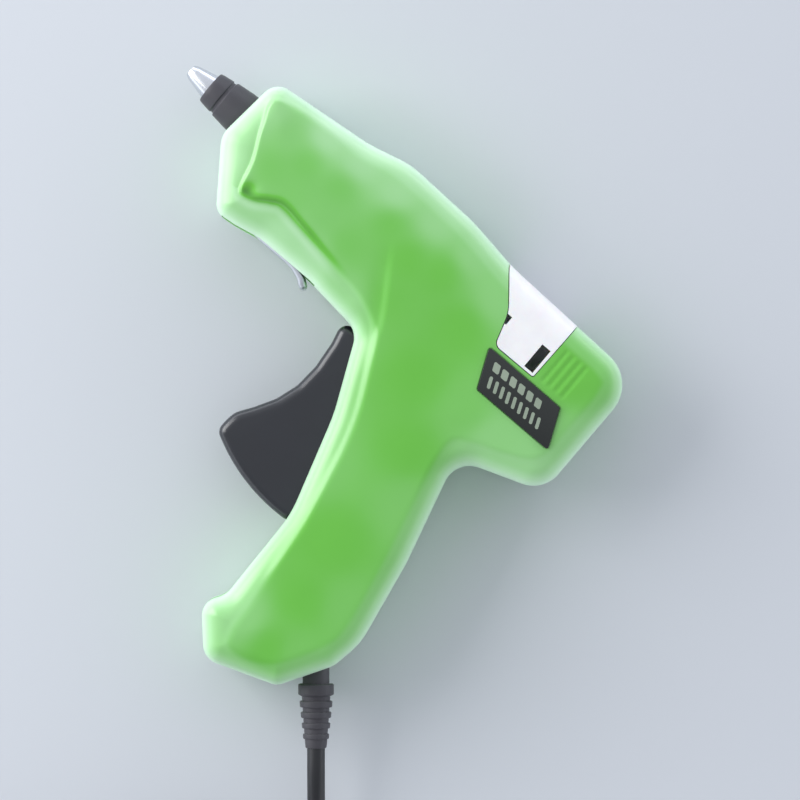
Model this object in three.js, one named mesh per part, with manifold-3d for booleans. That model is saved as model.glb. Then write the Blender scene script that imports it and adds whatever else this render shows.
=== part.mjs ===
// Hot-glue gun for 11 mm sticks, lying on its right side with its mains lead coiled beside it.
//
// Design frame, in millimetres: X runs along the stick axis from the nozzle (X = 0 is 4.5 mm behind
// the tip) to the stick inlet, Y points to the top of the barrel, Z points to the gun's left, and
// Z = 0 is the seam between the two halves of the housing. The whole model is then moved so that the
// origin lies on the right side's flat face, under the stick axis, with +Z up.
import * as THREE from 'three';
import { mergeVertices } from 'three/addons/utils/BufferGeometryUtils.js';
import ManifoldModule from 'manifold-3d';

const wasm = await ManifoldModule();
wasm.setup();

// ---------------------------------------------------------------- driving dimensions
const DATUM_X = 100; // the origin's place along the stick axis
const HALF = 17.5; // half the thickness of the housing, and the height of the seam over the floor
const FLOOR = -HALF;
const EDGE_ROUND = 5.5; // rounding of the housing's outer edge
const WALL = 2.4;
const GAP = 0.3; // clearance between touching pieces
const SEAM = GAP / 2;
const INNER = HALF - WALL; // inner face of a housing half
const ROOT = HALF - 1; // depth at which inner ribs and bosses merge into the wall
const ARC_STEP = THREE.MathUtils.degToRad(26);

const CHAMBER = { front: 27, shoulder: 70, back: 80, r: 9.5, nippleR: 7.4, bore: 5.9 };
const PAD = { front: 36, back: 64, bottom: -11.5, half: 7 };
const TRIGGER_PIN = { x: 112, y: -31, r: 2 };
const TRIGGER = { half: 8, tipR: 64, hubR: 6, hubHalf: 12 };
const FORK = { inner: 8.9, outer: 11.9, reach: 31, halfWidth: 5 };
const CARRIAGE = { front: 106, back: 124, half: 8.2, bore: 6.4, pinX: 112, pinY: -9, pinR: 2 };
const WINGS = { low: 9, high: 11, half: 13 }; // the carriage's runners
const RAILS = { front: 88, back: 120.5, lip: 1.9, inner: 8.8 };
const JAW_PIN = { x: 119, y: -12.4, r: 1.2 };
const RETURN_SPRING = { front: 124, back: 149, y: -13.4, r: 2.6, wire: 0.5, turns: 9 };
const STAND = { x: 41, y: -24.6, wire: 1.3, legZ: 9, stubEnd: 13.6, slotHalf: 1.8 };
const INLET_R = 8.2;
const NOSE_HOLE_R = 8.1;
const RELIEF = { x: 157, y: -127, angle: -50, hole: 4.9, length: 26 };
const SCREW = { shank: 1.5, head: 2.9, bore: 1.8, recess: 3.4, bossLeft: 3, bossRight: 4.6, floor: 10.5, end: 9 };
const SCREW_PLACES = {
  nose_top: [73, 15],
  nose_bottom: [78, -21.6],
  rear_top: [158, 11.2],
  lobe: [148, -31.5],
  handle: [127, -104],
  heel: [129, -136.5],
};
const CORD_R = 3;
const COIL = { outer: 39, inner: 27, layer: 6, lift: 0.9 };
const PLUG = { entry: 156, back: 144, front: 108, half: 17.6, thick: 13.7, pinEnd: 89, pinSpread: 9.3, pinR: 2 };

// Housing outline: the corners of the side view, each with the radius that rounds it.
const HOUSING_OUTLINE = [
  [20.4, 15.3, 6.4],
  [58, 19.2, 45],
  [73, 22.9, 30],
  [101, 21.7, 60],
  [121, 18.5, 60],
  [176.9, 16.1, 13],
  [176.6, -32.2, 11],
  [147.2, -42.6, 9],
  [157, -80, 60],
  [162.4, -110, 26],
  [160.4, -121.5, 8],
  [150, -138.8, 6],
  [125.6, -147.6, 7],
  [112.9, -133.6, 6],
  [117.6, -126.5, 9],
  [116.9, -92, 40],
  [106.5, -57.5, 60],
  [94.5, -31.2, 8],
  [72, -28.7, 30],
  [50, -28.6, 20],
  [41, -30.4, 12],
  [33.2, -31.2, 6.2],
  [17.9, -10, 9],
];

// The clear insert over the stick channel, seen from the side.
const WINDOW_OUTLINE = [
  [116.5, 30, 0],
  [119, 18.2, 10],
  [129.2, 5.6, 14],
  [132.6, -5.6, 3],
  [149.4, -5.6, 1],
  [150.2, 30, 0],
];
const BADGE_OUTLINE = [
  [131.6, -6.9, 0.8],
  [162.6, -7.3, 0.8],
  [168.6, -20.8, 0.8],
  [137.6, -20.4, 0.8],
];
// The trigger's front edge, from the barrel down to its toe.
const TRIGGER_FRONT = [
  [88.8, -32.2],
  [90.6, -39.7],
  [91.5, -49],
  [90.9, -57.8],
  [88.4, -65.6],
  [84.4, -72.6],
  [80.6, -78.2],
  [80.1, -82.2],
];
// Folded stand wire, from its pivot to the cross bar, as X and Y of one leg.
const STAND_LEG = [
  [46, -27.2],
  [54, -27.6],
  [63, -27.8],
  [68, -29.2],
];
const STAND_BAR = [71, -31.3];
// The lead's free stretch: distance along the exit line, and height against the seam.
const LEAD_OUT = [
  [0.3, 0],
  [5, 0],
  [9, -0.3],
  [16, -2.2],
  [23.5, -6.5],
  [31, -11.1],
  [38, -13.2],
  [43, -13.6],
  [45.5, -13.6],
];
const LEAD_TO_COIL = 68; // distance along the exit line at which the lead joins the coil
// Inner wire, from the jacket's end to the heater contact: X, Y and distance from the seam.
const INNER_WIRE = [
  [140.2, -106.9, 1.7],
  [138.6, -101, 5],
  [139.5, -92, 10.6],
  [138.5, -74, 13.2],
  [134, -52, 13.4],
  [124, -40, 13.4],
  [119, -24, 13.4],
  [104, -19, 13.4],
  [84, -17, 12.4],
  [73, -15, 7],
];

// ---------------------------------------------------------------- finishes
function finish(color, roughness, metalness) {
  return { color, roughness, metalness };
}
const FINISH = {
  green: finish(0x71c253, 0.34, 0),
  blackPlastic: finish(0x2a2c31, 0.45, 0),
  blackRubber: finish(0x26272b, 0.7, 0),
  clearWhite: finish(0xf4f5f0, 0.2, 0),
  badge: finish(0x1d221f, 0.3, 0),
  silicone: finish(0xb5482f, 0.55, 0),
  aluminium: finish(0xbfc2c5, 0.38, 1),
  steel: finish(0xcfd3d6, 0.25, 1),
  brass: finish(0xc8a45a, 0.3, 1),
  ceramic: finish(0x8a8c8e, 0.8, 0),
  nylon: finish(0xe6e2d6, 0.5, 0),
  wire: finish(0x8c5a3a, 0.5, 0),
  pinSteel: finish(0xdcdfe2, 0.2, 1),
};

// ---------------------------------------------------------------- geometry helpers
/** Turns a closed three.js geometry into a solid whose faces point out. */
function solid(geometry) {
  geometry.deleteAttribute('normal');
  geometry.deleteAttribute('uv');
  const merged = mergeVertices(geometry, 1e-4);
  const corners = merged.attributes.position.array;
  const triangles = [];
  for (let i = 0; i < merged.index.count; i += 3) {
    const [a, b, c] = merged.index.array.slice(i, i + 3);
    if (a !== b && b !== c && c !== a) triangles.push([a, b, c]);
  }
  const build = (list) => new wasm.Manifold(new wasm.Mesh({
    numProp: 3,
    vertProperties: Float32Array.from(corners),
    triVerts: Uint32Array.from(list.flat()),
  }));
  const body = build(triangles);
  return body.volume() > 0 ? body : build(triangles.map(([a, b, c]) => [a, c, b]));
}

/** The points of a polygon whose corners are [x, y, radius], each rounded by an arc. */
function roundedPoints(corners) {
  return corners.flatMap(([x, y, r], i) => {
    const corner = new THREE.Vector2(x, y);
    if (r === 0) return [corner];
    const before = corners.at(i - 1);
    const after = corners[(i + 1) % corners.length];
    const back = new THREE.Vector2(before[0], before[1]).sub(corner).normalize();
    const ahead = new THREE.Vector2(after[0], after[1]).sub(corner).normalize();
    const half = Math.acos(THREE.MathUtils.clamp(back.dot(ahead), -1, 1)) / 2;
    const centre = back.clone().add(ahead).normalize().multiplyScalar(r / Math.sin(half)).add(corner);
    const start = back.clone().multiplyScalar(r / Math.tan(half)).add(corner).sub(centre);
    const turn = (Math.PI - 2 * half) * -Math.sign(back.cross(ahead));
    const steps = Math.max(1, Math.ceil(Math.abs(turn) / ARC_STEP));
    return Array.from({ length: steps + 1 }, (_, k) =>
      start.clone().rotateAround(new THREE.Vector2(), (turn * k) / steps).add(centre));
  });
}

/** A flat outline pulled from z0 to z1. */
function prism(points, z0, z1) {
  const shape = new THREE.Shape(points);
  return solid(new THREE.ExtrudeGeometry(shape, { depth: z1 - z0, bevelEnabled: false }).translate(0, 0, z0));
}

/** A box between two corners. */
function block(x0, x1, y0, y1, z0, z1) {
  const box = new THREE.BoxGeometry(x1 - x0, y1 - y0, z1 - z0);
  return solid(box.translate((x0 + x1) / 2, (y0 + y1) / 2, (z0 + z1) / 2));
}

/** A turned solid from [distance along the axis, radius] pairs that start and end on the axis. */
function turned(profile, axis, [x, y, z], sides = 20) {
  const points = profile.map(([along, radius]) => new THREE.Vector2(radius, along));
  const lathe = new THREE.LatheGeometry(points, sides);
  if (axis === 'z') lathe.rotateX(Math.PI / 2);
  else lathe.rotateZ(THREE.MathUtils.degToRad(axis - 90));
  return solid(lathe.translate(x, y, z));
}

/** A plain rod along X (axis 0), along Z ('z') or at an angle in the XY plane. */
function rod(radius, from, to, axis, place, sides = 20) {
  return turned([[from, 0], [from, radius], [to, radius], [to, 0]], axis, place, sides);
}

/** A round bar that follows a smooth curve through the given points. */
function bar(points, radius, steps, sides = 8) {
  const curve = new THREE.CatmullRomCurve3(points.map((p) => new THREE.Vector3(...p)), false, 'centripetal');
  const section = new THREE.Shape(Array.from({ length: sides }, (_, k) => {
    const angle = (2 * Math.PI * k) / sides;
    return new THREE.Vector2(radius * Math.cos(angle), radius * Math.sin(angle));
  }));
  return solid(new THREE.ExtrudeGeometry(section, { steps, bevelEnabled: false, extrudePath: curve }));
}

/** A coil spring along X. */
function coilSpring({ front, back, y, r, wire, turns }, perTurn = 7) {
  const count = turns * perTurn;
  const points = Array.from({ length: count + 1 }, (_, k) => {
    const angle = (2 * Math.PI * k) / perTurn;
    const x = front + wire + ((back - front - 2 * wire) * k) / count;
    return [x, y + r * Math.cos(angle), r * Math.sin(angle)];
  });
  return bar(points, wire, count, 5);
}

/** The union of several solids. */
function join(...solids) {
  return solids.reduce((sum, next) => sum.add(next));
}

const gun = new THREE.Group();
const model = new THREE.Group();
model.add(gun);
gun.position.set(-DATUM_X, 0, HALF);

/** Adds one finished piece to the model. */
function piece(name, body, look) {
  const { numProp, vertProperties, triVerts } = body.getMesh();
  const geometry = new THREE.BufferGeometry();
  geometry.setAttribute('position', new THREE.BufferAttribute(vertProperties, numProp));
  geometry.setIndex(new THREE.BufferAttribute(triVerts, 1));
  const mesh = new THREE.Mesh(geometry, new THREE.MeshStandardMaterial(look));
  mesh.name = name;
  gun.add(mesh);
}

// ---------------------------------------------------------------- housing
/** The housing's outer body, shrunk by an inset on every side. */
function housingBody(inset) {
  const bevel = EDGE_ROUND - inset;
  const flat = HALF - EDGE_ROUND;
  const geometry = new THREE.ExtrudeGeometry(new THREE.Shape(roundedPoints(HOUSING_OUTLINE)), {
    depth: 2 * flat,
    bevelEnabled: true,
    bevelThickness: bevel,
    bevelSize: bevel,
    bevelOffset: -EDGE_ROUND,
    bevelSegments: 2,
  });
  return solid(geometry.translate(0, 0, -flat));
}

/** A side-view outline moved out (or in, below 0) on every side. */
function offsetPrism(corners, grow, z0, z1) {
  const geometry = new THREE.ExtrudeGeometry(new THREE.Shape(roundedPoints(corners)), {
    depth: z1 - z0 - 0.02,
    bevelEnabled: true,
    bevelThickness: 0.01,
    bevelSize: 0,
    bevelOffset: grow,
    bevelSegments: 1,
  });
  return solid(geometry.translate(0, 0, z0 + 0.01));
}

const reliefPlace = [RELIEF.x, RELIEF.y, 0];
const reliefTurn = THREE.MathUtils.degToRad(RELIEF.angle);
const along = new THREE.Vector2(Math.cos(reliefTurn), Math.sin(reliefTurn));
const across = new THREE.Vector2(-along.y, along.x);

/** A point on the lead's exit line, moved sideways, at a height against the seam. */
function onExitLine(distance, sideways, z) {
  return [
    RELIEF.x + distance * along.x + sideways * across.x,
    RELIEF.y + distance * along.y + sideways * across.y,
    z,
  ];
}

/** The sector that the trigger sweeps through the front of the handle. */
function triggerSlot() {
  const reach = TRIGGER.tipR + 0.6;
  const arc = Array.from({ length: 13 }, (_, k) => {
    const angle = THREE.MathUtils.degToRad(222 + (61 * k) / 12);
    return new THREE.Vector2(TRIGGER_PIN.x + reach * Math.cos(angle), TRIGGER_PIN.y + reach * Math.sin(angle));
  });
  const top = [[126.5, -25], [86.8, -25], [86.8, -36]].map((p) => new THREE.Vector2(...p));
  return prism([...arc, ...top], -TRIGGER.half - 0.6, TRIGGER.half + 0.6);
}

/** Everything that opens the housing: nose, inlet, trigger, stand, lead, window. */
function housingOpenings() {
  const slot = (z) => block(35.4, 74, -34, -23.2, z - STAND.slotHalf, z + STAND.slotHalf);
  return join(
    rod(NOSE_HOLE_R, 10, 26, 0, [0, 0, 0]),
    rod(INLET_R, 160, 180, 0, [0, 0, 0]),
    triggerSlot(),
    slot(STAND.legZ),
    slot(-STAND.legZ),
    rod(RELIEF.hole, -14, 14, RELIEF.angle, reliefPlace),
    offsetPrism(WINDOW_OUTLINE, 0, -HALF - 1, HALF + 1),
  );
}

/** Ribs, rails and bosses inside one half; side is 1 on the left and -1 on the right. */
function innerFeatures(side) {
  const span = (a, b) => [Math.min(side * a, side * b), Math.max(side * a, side * b)];
  const saddle = (x) => block(x - 1.2, x + 1.2, -6, 13, ...span(4, ROOT))
    .subtract(rod(CHAMBER.r + GAP, x - 2, x + 2, 0, [0, 0, 0]));
  const rail = (y0, y1) => block(RAILS.front, RAILS.back, y0, y1, ...span(RAILS.inner, ROOT));
  const boss = (radius, from, x, y) => rod(radius, ...span(from, ROOT), 'z', [x, y, 0], 12);
  const solids = [
    saddle(31),
    saddle(66.5),
    rail(WINGS.low - GAP - RAILS.lip, WINGS.low - GAP),
    rail(WINGS.high + GAP, WINGS.high + GAP + RAILS.lip),
    boss(4.6, TRIGGER.hubHalf + GAP, TRIGGER_PIN.x, TRIGGER_PIN.y),
    boss(3.3, STAND.legZ + STAND.slotHalf, STAND.x, STAND.y),
  ];
  const bossR = side > 0 ? SCREW.bossLeft : SCREW.bossRight;
  for (const [x, y] of Object.values(SCREW_PLACES)) solids.push(boss(bossR, SEAM, x, y));
  if (side > 0) {
    solids.push(boss(1.9, -4, RETURN_SPRING.back + 2.2, RETURN_SPRING.y));
  } else {
    for (const sideways of [-7, 7]) {
      const [x, y] = onExitLine(-17, sideways, 0);
      solids.push(boss(2.6, -2.9, x, y));
    }
  }
  return join(...solids).intersect(housingBody(WALL / 2));
}

/** Holes for pins and screws in one half. */
function pinHoles(side) {
  const span = (a, b) => [Math.min(side * a, side * b), Math.max(side * a, side * b)];
  const hole = (radius, from, to, x, y) => rod(radius, ...span(from, to), 'z', [x, y, 0], 12);
  const holes = [
    hole(TRIGGER_PIN.r + GAP, -1, INNER, TRIGGER_PIN.x, TRIGGER_PIN.y),
    hole(STAND.wire + GAP, 1, STAND.stubEnd + 0.5, STAND.x, STAND.y),
  ];
  for (const [x, y] of Object.values(SCREW_PLACES)) {
    if (side > 0) holes.push(hole(SCREW.bore, -1, SCREW.end + 1, x, y));
    else holes.push(hole(SCREW.bore, -1, HALF, x, y), hole(SCREW.recess, SCREW.floor, HALF + 1, x, y));
  }
  if (side < 0) {
    for (const sideways of [-7, 7]) {
      const [x, y] = onExitLine(-17, sideways, 0);
      holes.push(hole(1.4, -4, 9, x, y));
    }
  }
  return join(...holes);
}

/** One half of the housing. */
function housingHalf(side) {
  const [z0, z1] = side > 0 ? [SEAM, HALF + 1] : [-HALF - 1, -SEAM];
  const skin = housingBody(0).subtract(housingBody(WALL)).intersect(block(-20, 200, -160, 40, z0, z1));
  return skin.subtract(housingOpenings()).add(innerFeatures(side)).subtract(pinHoles(side));
}

function buildHousing() {
  const badgeFloor = HALF - 1;
  const badge = roundedPoints(BADGE_OUTLINE);
  const recess = offsetPrism(BADGE_OUTLINE, GAP, badgeFloor, HALF + 1);
  piece('left_shell', housingHalf(1).subtract(recess), FINISH.green);
  piece('right_shell', housingHalf(-1), FINISH.green);
  piece('badge', prism(badge, badgeFloor + GAP, HALF + 0.1), FINISH.badge);

  const plug = housingBody(0).subtract(housingBody(WALL + 1.5))
    .intersect(offsetPrism(WINDOW_OUTLINE, -GAP, -HALF - 1, HALF + 1));
  const flange = housingBody(WALL + GAP).subtract(housingBody(WALL + 1.5))
    .intersect(offsetPrism(WINDOW_OUTLINE, 1.4, -HALF - 1, HALF + 1));
  const vents = join(
    block(144.6, 148.2, -4.4, 5, -HALF - 1, HALF + 1),
    block(128.6, 131.2, 2.2, 5.4, -HALF - 1, HALF + 1),
  );
  piece('stick_window', plug.add(flange).subtract(vents), FINISH.clearWhite);

  for (const [name, [x, y]] of Object.entries(SCREW_PLACES)) {
    const under = -SCREW.floor - GAP;
    const profile = [
      [under - 2.2, 0], [under - 2.2, SCREW.head], [under, SCREW.head],
      [under, SCREW.shank], [SCREW.end, SCREW.shank], [SCREW.end, 0],
    ];
    piece(`housing_screw_${name}`, turned(profile, 'z', [x, y, 0], 12), FINISH.steel);
  }
}

// ---------------------------------------------------------------- hot end
function buildHotEnd() {
  const bore = [[-5, 0], [-5, 1], [12, 1], [14, 2.7], [31.6, 2.7], [32.6, 1.6], [40, 1.6], [40, 0]];
  const nozzle = turned([[-4.5, 0], [-4.5, 2.1], [4, 4.5], [21, 4.5], [21, 3.9], [35, 3.9], [35, 0]], 0, [0, 0, 0]);
  piece('nozzle', nozzle.subtract(turned(bore, 0, [0, 0, 0], 16)), FINISH.brass);
  piece('valve_ball', solid(new THREE.SphereGeometry(2.1, 14, 8).translate(29.4, 0, 0)), FINISH.steel);
  piece('valve_spring', coilSpring({ front: 14.6, back: 27, y: 0, r: 1.9, wire: 0.35, turns: 6 }), FINISH.steel);

  const boot = turned([
    [4.2, 0], [4.2, 5.9], [10, 6.9], [17, 7.8], [23.8, 7.8], [23.8, 9.6], [26, 9.6], [26, 0],
  ], 0, [0, 0, 0]);
  piece('nozzle_boot', boot.subtract(rod(4.8, 4, 27, 0, [0, 0, 0])), FINISH.blackRubber);

  const body = turned([
    [CHAMBER.front, 0], [CHAMBER.front, CHAMBER.r], [CHAMBER.shoulder, CHAMBER.r],
    [CHAMBER.shoulder, CHAMBER.nippleR], [CHAMBER.back, CHAMBER.nippleR], [CHAMBER.back, 0],
  ], 0, [0, 0, 0]);
  const cavity = turned([
    [20, 0], [20, 4.2], [35.5, 4.2], [40, CHAMBER.bore], [90, CHAMBER.bore], [90, 0],
  ], 0, [0, 0, 0]);
  const pad = block(PAD.front, PAD.back, PAD.bottom, -4, -PAD.half, PAD.half);
  piece('melt_chamber', body.add(pad).subtract(cavity), FINISH.aluminium);

  // Heater stack under the pad: contact, ceramic plate, contact, all pressed up by the clip.
  const contactTop = PAD.bottom - GAP;
  const plateTop = contactTop - 0.5 - GAP;
  const lowerTop = plateTop - 2.5 - GAP;
  piece('heater_contact_upper', block(38, 67, contactTop - 0.5, contactTop, -5, 5), FINISH.brass);
  piece('heater_plate', block(39, 61, plateTop - 2.5, plateTop, -5, 5), FINISH.ceramic);
  piece('heater_contact_lower', block(38, 67, lowerTop - 0.5, lowerTop, -5, 5), FINISH.brass);
  const clipBottom = lowerTop - 0.5 - GAP;
  const clipOuter = join(
    rod(CHAMBER.r + GAP + 0.8, 44, 56, 0, [0, 0, 0]),
    block(44, 56, clipBottom - 0.8, 0, -8.4, 8.4),
  );
  const clipInner = join(
    rod(CHAMBER.r + GAP, 43, 57, 0, [0, 0, 0]),
    block(43, 57, clipBottom, 0, -7.6, 7.6),
    block(43, 57, 7, 12, -6, 6),
  );
  piece('heater_clip', clipOuter.subtract(clipInner), FINISH.steel);

  const lip = CHAMBER.nippleR + GAP;
  const sleeve = turned([[73, 0], [73, 9.3], [81, 9.3], [84, 8], [93, 8], [93, 0]], 0, [0, 0, 0])
    .subtract(turned([[72, 0], [72, lip], [80.3, lip], [80.3, 6.2], [94, 6.2], [94, 0]], 0, [0, 0, 0]));
  piece('stick_sleeve', sleeve, FINISH.silicone);
  piece('sleeve_clamp', rod(10.6, 75.5, 78, 0, [0, 0, 0]).subtract(rod(9.6, 75, 79, 0, [0, 0, 0])), FINISH.steel);
}

// ---------------------------------------------------------------- feed and trigger
function buildCarriage() {
  const { front, back, half, bore, pinX, pinY, pinR } = CARRIAGE;
  const body = join(
    block(front, back, -16, 9.5, -half, half),
    block(front, back, WINGS.low, WINGS.high, -WINGS.half, WINGS.half),
    rod(pinR, -12.4, 12.4, 'z', [pinX, pinY, 0], 16),
  );
  const openings = join(
    rod(bore, front - 1, back + 1, 0, [0, 0, 0]),
    block(109.5, 122.3, -17, 0, -4.4, 4.4),
    rod(JAW_PIN.r + GAP, -7.6, 7.6, 'z', [JAW_PIN.x, JAW_PIN.y, 0], 12),
  );
  piece('feed_carriage', body.subtract(openings), FINISH.nylon);
  piece('jaw_pin', rod(JAW_PIN.r, -7.4, 7.4, 'z', [JAW_PIN.x, JAW_PIN.y, 0], 12), FINISH.steel);

  // The jaw leans forward from its pin, so the stick's drag lifts its edge into the stick.
  const side = [[117.2, -14.6], [121, -14.6], [121.2, -10.4], [115.2, -6.2], [113.6, -6.3], [113.2, -8]];
  const jaw = prism(side.map((p) => new THREE.Vector2(...p)), -4, 4)
    .subtract(rod(JAW_PIN.r + GAP, -5, 5, 'z', [JAW_PIN.x, JAW_PIN.y, 0], 12));
  piece('grip_jaw', jaw, FINISH.steel);
  piece('return_spring', coilSpring({ ...RETURN_SPRING, front: back + GAP }), FINISH.steel);
}

function buildTrigger() {
  const { x, y, r } = TRIGGER_PIN;
  const arc = Array.from({ length: 9 }, (_, k) => {
    const angle = THREE.MathUtils.degToRad(240 + (36 * k) / 8);
    return new THREE.Vector2(x + TRIGGER.tipR * Math.cos(angle), y + TRIGGER.tipR * Math.sin(angle));
  });
  const front = new THREE.SplineCurve(TRIGGER_FRONT.map((p) => new THREE.Vector2(...p))).getPoints(16);
  const back = [[121, -60], [118.5, -38], [112, -27], [100, -28.6]].map((p) => new THREE.Vector2(...p));
  const blade = prism([...front, ...arc, ...back], -TRIGGER.half, TRIGGER.half);
  const hub = rod(TRIGGER.hubR, -TRIGGER.hubHalf, TRIGGER.hubHalf, 'z', [x, y, 0]);
  const slotTop = CARRIAGE.pinY + CARRIAGE.pinR + 4;
  const slotLow = CARRIAGE.pinY - CARRIAGE.pinR - 0.7;
  const pinSlot = block(x - CARRIAGE.pinR - 0.5, x + CARRIAGE.pinR + 0.5, slotLow, slotTop, -20, 20);
  const arms = [-1, 1].map((side) => {
    const [z0, z1] = side > 0 ? [FORK.inner, FORK.outer] : [-FORK.outer, -FORK.inner];
    return block(x - FORK.halfWidth, x + FORK.halfWidth, y, y + FORK.reach, z0, z1).subtract(pinSlot);
  });
  const bore = rod(r + GAP, -20, 20, 'z', [x, y, 0], 20);
  piece('trigger', join(blade, hub, ...arms).subtract(bore), FINISH.blackPlastic);
  piece('trigger_pin', rod(r, -INNER + GAP, INNER - GAP, 'z', [x, y, 0], 20), FINISH.steel);
}

function buildStand() {
  const { x, y, wire, legZ, stubEnd } = STAND;
  const leg = (side) => [
    [x, y, side * stubEnd],
    [x, y, side * (legZ + 1.6)],
    [x + 1.2, y - 0.6, side * legZ],
    ...STAND_LEG.map(([px, py]) => [px, py, side * legZ]),
    [STAND_BAR[0] - 0.6, STAND_BAR[1] + 0.5, side * (legZ - 0.4)],
    [STAND_BAR[0], STAND_BAR[1], side * (legZ - 2.2)],
  ];
  piece('wire_stand', bar([...leg(-1), ...leg(1).reverse()], wire, 44, 7), FINISH.steel);
}

// ---------------------------------------------------------------- mains lead
function buildInnerWiring() {
  const contactY = { live: PAD.bottom - GAP - 0.25, neutral: PAD.bottom - 3 * GAP - 3.25 };
  for (const [name, side] of [['live', 1], ['neutral', -1]]) {
    const route = INNER_WIRE.map(([x, y, z]) => [x, y, side * z]);
    route.push([67.8, contactY[name], side * 3]);
    piece(`wire_${name}`, bar(route, 1, 32, 5), FINISH.wire);
  }
  piece('cord_jacket_inside', rod(CORD_R, -25, -9.4, RELIEF.angle, reliefPlace, 12), FINISH.blackRubber);
  const clamp = block(-3, 3, -10, 10, CORD_R + GAP, CORD_R + GAP + 3)
    .subtract(join(...[-7, 7].map((v) => rod(1.5, 0, 9, 'z', [0, v, 0], 12))));
  const [cx, cy] = onExitLine(-17, 0, 0);
  piece('cord_clamp', clamp.rotate([0, 0, RELIEF.angle]).translate([cx, cy, 0]), FINISH.nylon);
  [-7, 7].forEach((sideways, index) => {
    const top = CORD_R + 3 + 2 * GAP;
    const profile = [[-8.5, 0], [-8.5, 1.1], [top, 1.1], [top, 2.2], [top + 1.6, 2.2], [top + 1.6, 0]];
    const [x, y] = onExitLine(-17, sideways, 0);
    piece(`clamp_screw_${index + 1}`, turned(profile, 'z', [x, y, 0], 10), FINISH.steel);
  });
}

function buildStrainRelief() {
  const neck = RELIEF.hole - 0.4;
  const profile = [[-9, 0], [-9, 6.4], [-6.4, 6.4], [-6.4, neck], [4.4, neck], [4.4, 6], [8, 6]];
  for (let s = 10; s < RELIEF.length - 2; s += 4) {
    const r = 6 - (1.6 * (s - 8)) / (RELIEF.length - 8);
    profile.push([s - 1, r - 0.9], [s, r - 0.9], [s + 0.4, r], [s + 2, r]);
  }
  profile.push([RELIEF.length - 1.2, 3.5], [RELIEF.length, 3.5], [RELIEF.length, 0]);
  piece('strain_relief', turned(profile, RELIEF.angle, reliefPlace, 16), FINISH.blackRubber);
}

function buildCord() {
  const route = LEAD_OUT.map(([s, z]) => onExitLine(RELIEF.length + s, 0, z));
  piece('power_cord', bar(route, CORD_R, 14, 10), FINISH.blackRubber);

  const [jx, jy] = onExitLine(RELIEF.length + LEAD_TO_COIL, -COIL.outer, 0);
  const low = FLOOR + COIL.lift;
  const high = low + 2 * COIL.layer;
  const [rIn, rOut] = [COIL.inner - CORD_R, COIL.outer + CORD_R];
  const ring = [[low, rIn], [low, rOut], [high, rOut], [high, rIn], [low, rIn]];
  piece('cord_coil', turned(ring, 'z', [jx, jy, 0], 36), FINISH.blackRubber);

  const middle = jx - (rIn + rOut) / 2;
  const half = (rOut - rIn) / 2 + 2 * GAP;
  const band = block(middle - half - 0.9, middle + half + 0.9, jy - 4, jy + 4, FLOOR, high + GAP + 0.9);
  const inside = block(middle - half, middle + half, jy - 5, jy + 5, low - GAP, high + GAP);
  piece('cord_tie', band.subtract(inside), FINISH.blackPlastic);

  const plugY = jy - COIL.outer;
  const plugZ = FLOOR + PLUG.thick / 2;
  const tail = [[164.6, plugY, plugZ + 0.7], [161, plugY, plugZ + 0.2], [PLUG.entry + GAP, plugY, plugZ]];
  piece('cord_tail', bar(tail, CORD_R, 4, 10), FINISH.blackRubber);

  const { entry, back, front, half: wide, thick } = PLUG;
  const outline = [
    [front, -wide, 4], [front + 13, -wide, 8], [back, -6.5, 4],
    [back, 6.5, 4], [front + 13, wide, 8], [front, wide, 4],
  ];
  const shape = new THREE.Shape(roundedPoints(outline));
  const body = solid(new THREE.ExtrudeGeometry(shape, {
    depth: thick - 4, bevelThickness: 2, bevelSize: 2, bevelOffset: -2, bevelSegments: 2,
  }).translate(0, plugY, plugZ - thick / 2 + 2));
  const boot = turned([[back - 4, 0], [back - 4, 5.4], [back, 5.2], [entry, 3.8], [entry, 0]], 0, [0, plugY, plugZ], 16);
  piece('plug_body', body.add(boot), FINISH.blackPlastic);
  for (const [name, side] of [['plug_pin_upper', 1], ['plug_pin_lower', -1]]) {
    const tip = PLUG.pinEnd;
    const pin = [[tip, 0], [tip, 1.2], [tip + 1.2, PLUG.pinR], [front - GAP, PLUG.pinR], [front - GAP, 0]];
    piece(name, turned(pin, 0, [0, plugY + side * PLUG.pinSpread, plugZ], 14), FINISH.pinSteel);
  }
}

buildHousing();
buildHotEnd();
buildCarriage();
buildTrigger();
buildStand();
buildInnerWiring();
buildStrainRelief();
buildCord();

export default model;
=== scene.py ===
"""Hot-glue gun lying on its right side, with its lead coiled beside it.

Every size is in millimetres in the gun's own frame: X runs along the glue stick from the nozzle to
the inlet, Y to the top of the barrel, and Z to the gun's left, with Z = 0 at the seam between the two
housing halves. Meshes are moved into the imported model's frame, in metres, when they are made.
"""

from __future__ import annotations

import logging
import math
import sys
from dataclasses import dataclass, field
from enum import Enum
from typing import Any, Iterable, Sequence

import bpy
import numpy as np
from mathutils import Matrix, Vector
from mathutils.geometry import delaunay_2d_cdt

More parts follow.
